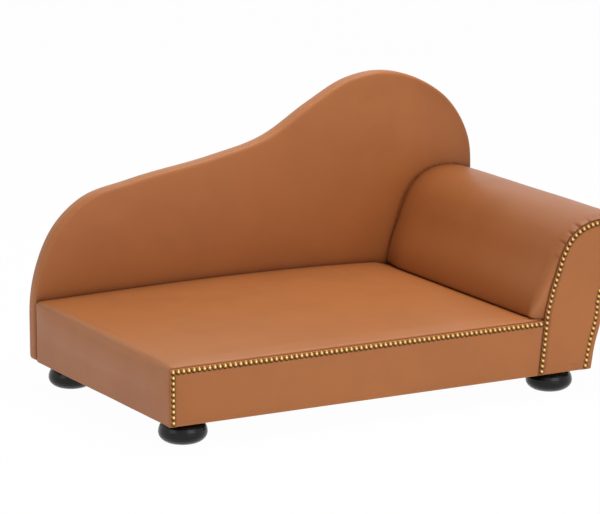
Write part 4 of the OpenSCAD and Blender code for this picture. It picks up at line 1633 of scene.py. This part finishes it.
        # Painted shade along the seat, along the back, in the seams and the gathers, and over the scroll's
        # upward-facing top.
        low = fading(p[:, 2] - self.lip_level(y), *self.seat_shade) * (s < 200) * (0.6 + 0.4 * eased((y - 4) / 30))
        at_back = fading(self.rear - y, *self.back_shade)
        seam = self.seam_shade * (1 - eased((y - 0.9) / 2.0)) * (s > 60)
        folds = self.fold_shade * np.clip(self.pleats(s, y), 0, 1.6)
        crown = 0.02 + self.crown_shade * eased(panel.normals[:, 2] / 0.8)
        panel.deepen("painted_shade", np.clip(np.maximum(low + at_back + folds + crown, seam), 0, 0.95))
        # Painted highlight along the front roll.
        panel.deepen("edge", 0.3 * np.exp(-(((y - 6) / 4) ** 2)) * eased((s - 110) / 60))
        piece = panel.done(self.hide, "tan_hide", "arm_cover", "arm_foam")
        return piece

    def outside(self) -> bpy.types.Object:
        """The covering of the arm's outside, from the cove down and under.

        Returns:
            The piece.
        """
        turn, r, grid = np.radians(np.linspace(0, 90, 4)), self.seat.hem_roll, []
        for station in self.stations():
            base = self.outer_rear(self.swell_at(station[0]))
            at = np.linspace(0, lengths_along(base)[-1], 34)
            line = self.laid(base, self.outer_growth(base), station, at)
            foot, depth = line[-1], line[-1, 1]
            arc = np.stack([foot[0] - r + r * np.cos(turn), r - r * np.sin(turn)], axis=1)
            hem = np.array([[foot[0] - 9, 0.0], [foot[0] - STOCK.hem, 0.0]])
            grid.append(np.concatenate([line[:-1], at_depth(np.concatenate([arc, hem]), depth)]))
        panel = Panel("arm_outer_covering", np.stack(grid))
        panel.refine()
        p = panel.points
        shown = eased((p[:, 1] - 10) / 30) * eased((self.rear - p[:, 1]) / 20) * eased(p[:, 2] / 15)
        panel.shift(shown * rolling(p, self.outer_wave))
        panel.thicken(STOCK.hide)
        p = panel.points
        # Painted shade behind the front panel.
        panel.deepen("painted_shade", fading(p[:, 1] - self.facing_thick, self.outer_shade))
        piece = panel.done(self.hide, "tan_hide", "arm_outer_cover")
        return piece

    @staticmethod
    def ringed(outline: np.ndarray, up: int, across: int, gather: float = 7.0) -> np.ndarray:
        """An outline of the arm's end as a ring: up the joint, round the scroll's tip, down and back.

        Args:
            outline: Its points, from the joint's foot over the scroll down to the other foot.
            up: Steps along each side.
            across: Steps round the tip and along the foot.
            gather: Half the length of the tip.

        Returns:
            The ring's points.
        """
        s, nose = lengths_along(outline), int(np.argmax(outline[:, 0]))
        left = resampled(outline[s <= s[nose] - gather], up + 1)
        right = resampled(outline[s >= s[nose] + gather][::-1], up + 1)
        tip = resampled(outline[(s >= s[nose] - gather) & (s <= s[nose] + gather)], across + 1)
        left[-1], right[-1] = tip[0], tip[-1]
        foot = np.linspace(left[0], right[0], across + 1)
        return np.concatenate([left[:-1], tip[:-1], right[:0:-1], foot[:0:-1]])

    def rear_panel(self) -> bpy.types.Object:
        """The flat panel that closes the arm's rear, inside the covering's turned edge.

        Returns:
            The piece.
        """
        path, grown = self.whole(self.rear)
        drawn = (self.facing_inset - STOCK.hide) * grown * np.abs(unit(inward(path))[:, 0])
        turned = drawn + self.seat.rear_tuck * grown + STOCK.hide + STOCK.gap
        counts, y = (60, 16), self.rear
        ring = self.ringed(self.closed(inset(path, turned), self.rail_z), *counts)
        steps = [(y, 6.0), (y, 3.0), (y, 1.0), (y - 0.25, 0.3), (y - 0.6, 0.0)]
        panel = Panel.turned("arm_rear_covering", ring, counts, steps, behind=True)
        panel.thicken(STOCK.hide * 0.5)
        panel.deepen("painted_shade", np.zeros(len(panel.points)))
        piece = panel.done(self.hide, "tan_hide", "arm_rear_panel")
        return piece

    def facing_outline(self, nailed: bool = False) -> np.ndarray:
        """The front panel's edge, from foot to foot over the scroll.

        Args:
            nailed: True for the line that its nails follow.

        Returns:
            Points in X and Z.
        """
        path, grown = self.whole(0.0, nailed)
        outline = self.closed(inset(path, self.facing_inset * grown), 0.0)
        return np.stack([outline[:, 0], np.maximum(outline[:, 1], 0)], axis=1)

    def nails(self) -> np.ndarray:
        """Places of the nails on the front panel.

        Returns:
            Points in X and Z.
        """
        path = inset(self.facing_outline(nailed=True), STOCK.nail_in)
        path[0, 1] = path[-1, 1] = STOCK.nail_in
        count = round(lengths_along(path)[-1] / STOCK.nail_pitch)
        return resampled(path, count + 1)

    def facing(self) -> bpy.types.Object:
        """The covered front panel, nailed all round but at its foot.

        Returns:
            The piece.
        """
        counts = (88, 24)
        ring = self.ringed(self.facing_outline(), *counts)
        steps = [(0.0, drawn) for drawn in (15.0, 12.0, 9.5, 7.5, 6.0, 4.5, 3.0, 1.8)]
        steps += [(0.25, 0.8), (0.9, 0.2), (1.8, 0.0), (self.facing_thick, 0.0)]
        panel = Panel.turned("arm_facing_covering", ring, counts, steps)
        p = panel.points
        away = nearest(p, self.nails())
        rim = nearest(p, ring)
        puff = 0.9 * eased((away - 4.0) / 7) * eased((rim - 1) / 8) + 0.8 * eased((rim - 12) / 40)
        puff += rolling(p, self.facing_wave) * eased((rim - 12) / 30)
        p[:, 1] -= puff * (p[:, 1] < 0.2)
        panel.points = p
        panel.close_behind()
        panel.smooth()
        rim, outer = nearest(p, ring), nearest(p, self.outer_rear(self.swell))
        # Painted shade round the nails and in the seam along the panel's edge.
        seam = self.seam_shade * (1 - eased((rim - 0.9) / 0.8)) * eased((outer - 8) / 8) * (p[:, 2] > 1.5)
        panel.deepen("painted_shade", np.maximum(STOCK.round_nail(away), seam))
        piece = panel.done(self.hide, "tan_hide", "arm_facing")
        return piece


# ---------------------------------------------------------------- the rest


@dataclass
class Underside:
    """The black lining under the box.

    Attributes:
        finish: Finish of the lining.
        thickness: Its thickness.
        wave: Its ripples.
    """

    finish: bpy.types.Material
    thickness: float = 0.6
    wave: Wave = (0.35, 60.0, 11.0)

    def lining(self) -> bpy.types.Object:
        """The lining, stapled round its edge, with faint ripples.

        Returns:
            The piece.
        """
        low, high = (Sofa.measured(np.array(c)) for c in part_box("dust_cover"))
        x, y = np.linspace(low[0], high[0], 90), np.linspace(low[1], high[1], 56)
        gx, gy = np.meshgrid(x, y)
        edge = np.minimum.reduce([gx - low[0], high[0] - gx, gy - low[1], high[1] - gy])
        flat = np.stack([gx, gy, np.zeros_like(gx)], axis=-1).reshape(-1, 3)
        ripple = rolling(flat, self.wave).reshape(gx.shape) * eased(edge / 30)
        grid = np.stack([gx, gy, 0.2 + np.abs(ripple)], axis=-1)
        panel = Panel("underside_lining", grid[:, ::-1])
        panel.thicken(self.thickness)
        piece = panel.done(self.finish, "lining", "dust_cover")
        (high[0] - low[0]) * MM
        (high[1] - low[1]) * MM
        return piece


@dataclass(frozen=True)
class Woodwork:
    """The frame's boards, feet, nails and fasteners, which keep their CAD shapes."""

    lengthwise: Names = ("front_rail", "rear_rail", "back_board")
    depthwise: Names = ("left_rail", "right_rail", "centre_rail", "arm_inner_rail", "arm_stringers", "arm_base_board")
    upright: Names = ("corner_blocks", "arm_front_former", "arm_rear_former")
    boards: Names = ("seat_deck", "arm_panel", "arm_outer_board")
    nails: Names = ("seat_nails", "arm_nails")
    fasteners: Names = (
        "back_bolts", "back_washers", "back_t_nuts", "arm_bolts", "arm_washers", "arm_t_nuts",
        "foot_studs", "foot_t_nuts",
    )
    feet: Names = ("foot_front_left", "foot_front_right", "foot_rear_left", "foot_rear_right")

    def dress(self) -> None:
        """Gives each CAD node that stays its finish."""
        for finish, names in (
            (Timber(Grain.LENGTH), self.lengthwise), (Timber(Grain.DEPTH), self.depthwise),
            (Timber(Grain.HEIGHT), self.upright), (Fibreboard(), self.boards), (Brass(), self.nails),
            (Zinc(), self.fasteners), (BlackPaint(), self.feet),
        ):
            material = finish.material()
            for name in names:
                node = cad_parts[name]
                if not node.material_slots:
                    node.data.materials.append(material)
                for slot in node.material_slots:
                    slot.material = material
                log.info("%s: %s", name, material.name)


# ---------------------------------------------------------------- the studio


@dataclass(frozen=True)
class Lamp:
    """A square soft light.

    Attributes:
        name: Its name.
        place, aim: Where it hangs and where it points, in metres.
        size: Its side in metres.
        power: Its power in watts.
    """

    name: str
    place: tuple[float, float, float]
    aim: tuple[float, float, float]
    size: float
    power: float

    def hang(self) -> None:
        """Adds the lamp to the scene."""
        light = bpy.data.lights.new(self.name, "AREA")
        light.shape, light.size, light.energy = "SQUARE", self.size, self.power
        lamp = bpy.data.objects.new(self.name, light)
        lamp.location = self.place
        lamp.rotation_euler = (Vector(self.aim) - Vector(self.place)).to_track_quat("-Z", "Y").to_euler()
        bpy.context.scene.collection.objects.link(lamp)


@dataclass
class Studio:
    """A white floor, soft light and the photograph's camera.

    Attributes:
        lens: Focal length in millimetres, for a frame 36 mm wide.
        eye: Place of the camera in the sofa's millimetres.
        tilt, turn: Angle of the camera from straight down, and round the vertical, in degrees.
        ambient: Strength of the light from all round.
        floor_size: Side of the floor in metres.
        floor_tone: Grey of the floor itself.
        floor_glow: How far the camera sees it as plain white.
        lamps: The soft lights.
    """

    lens: float = 173.2
    eye: tuple[float, float, float] = (-2069.08, -4097.87, 1218.8)
    tilt: float = 78.507
    turn: float = -29.446
    ambient: float = 0.43
    floor_size: float = 40.0
    floor_tone: float = 0.86
    floor_glow: float = 0.98
    lamps: tuple[Lamp, ...] = (
        Lamp("overhead", (0.5, 0.1, 2.35), (0.0, 0.0, 0.1), 1.7, 29.0),
        Lamp("front_overhead", (0.6, -0.9, 2.3), (0.0, 0.0, 0.1), 1.4, 9.5),
        Lamp("front_fill", (0.3, -3.0, 1.1), (0.0, 0.0, 0.15), 1.8, 23.0),
        Lamp("left_fill", (-3.0, -0.8, 1.4), (0.0, 0.0, 0.15), 1.6, 10.0),
    )

    def seen_share(self, r: Recipe) -> Value:
        """Tells the rays that the camera, a gloss or a glass sends.

        Args:
            r: The recipe that the value is for.

        Returns:
            1 for such a ray, else 0.
        """
        path = r.node("ShaderNodeLightPath")
        seen = Value(r, path.outputs["Is Camera Ray"]) + Value(r, path.outputs["Is Glossy Ray"])
        return seen + Value(r, path.outputs["Is Transmission Ray"])

    def camera(self) -> None:
        """The camera, at the photograph's angle."""
        data = bpy.data.cameras.new("camera")
        data.lens, data.sensor_width = self.lens, 36.0
        camera = bpy.data.objects.new("camera", data)
        camera.location = Sofa.placed(np.array(self.eye))
        camera.rotation_euler = Euler((math.radians(self.tilt), 0.0, math.radians(self.turn)))
        bpy.context.scene.collection.objects.link(camera)
        bpy.context.scene.camera = camera

    def floor(self) -> None:
        """A white floor that keeps a soft shadow."""
        bpy.ops.object.select_all(action="DESELECT")
        bpy.ops.mesh.primitive_plane_add(size=self.floor_size)
        plane = bpy.context.object
        plane.name = "floor"
        r = Recipe("white_floor")
        share = self.seen_share(r).within(0.0, 1.0) * self.floor_glow
        matt = r.node("ShaderNodeBsdfDiffuse", Color=(self.floor_tone,) * 3)
        glow = r.node("ShaderNodeEmission", Color=(1.0, 1.0, 1.0), Strength=1.0)
        mix = r.node("ShaderNodeMixShader", Fac=share, Shader=matt.outputs[0], Shader_001=glow.outputs[0])
        r.node("ShaderNodeOutputMaterial", Surface=mix.outputs[0])
        plane.data.materials.append(r.owner)

    def sky(self) -> None:
        """White behind everything, and an even light from all round."""
        world = bpy.data.worlds.new("studio")
        bpy.context.scene.world = world
        r = Recipe(world)
        strength = self.seen_share(r).within(0.0, 1.0) * (1.0 - self.ambient) + self.ambient
        glow = r.node("ShaderNodeBackground", Color=(1.0, 1.0, 1.0), Strength=strength)
        r.node("ShaderNodeOutputWorld", Surface=glow.outputs[0])

    def build(self) -> None:
        """Sets everything up."""
        bpy.context.scene.view_settings.view_transform = "Standard"
        self.camera()
        self.floor()
        self.sky()
        for lamp in self.lamps:
            lamp.hang()


# ---------------------------------------------------------------- the sofa


def main() -> None:
    """Builds the sofa's pieces in order."""
    logging.basicConfig(level=logging.INFO, format="%(message)s")
    Studio().build()
    hide = Hide().material()
    seat = Seat(hide)
    arm = ScrollArm(hide, seat)
    back = Back(hide, seat, arm)
    seat.covering()
    seat.band()
    back.covering()
    back.rear_panel()
    arm.covering()
    arm.outside()
    arm.rear_panel()
    arm.facing()
    Underside(Lining().material()).lining()
    Woodwork().dress()


if __name__ == "__main__":
    main()
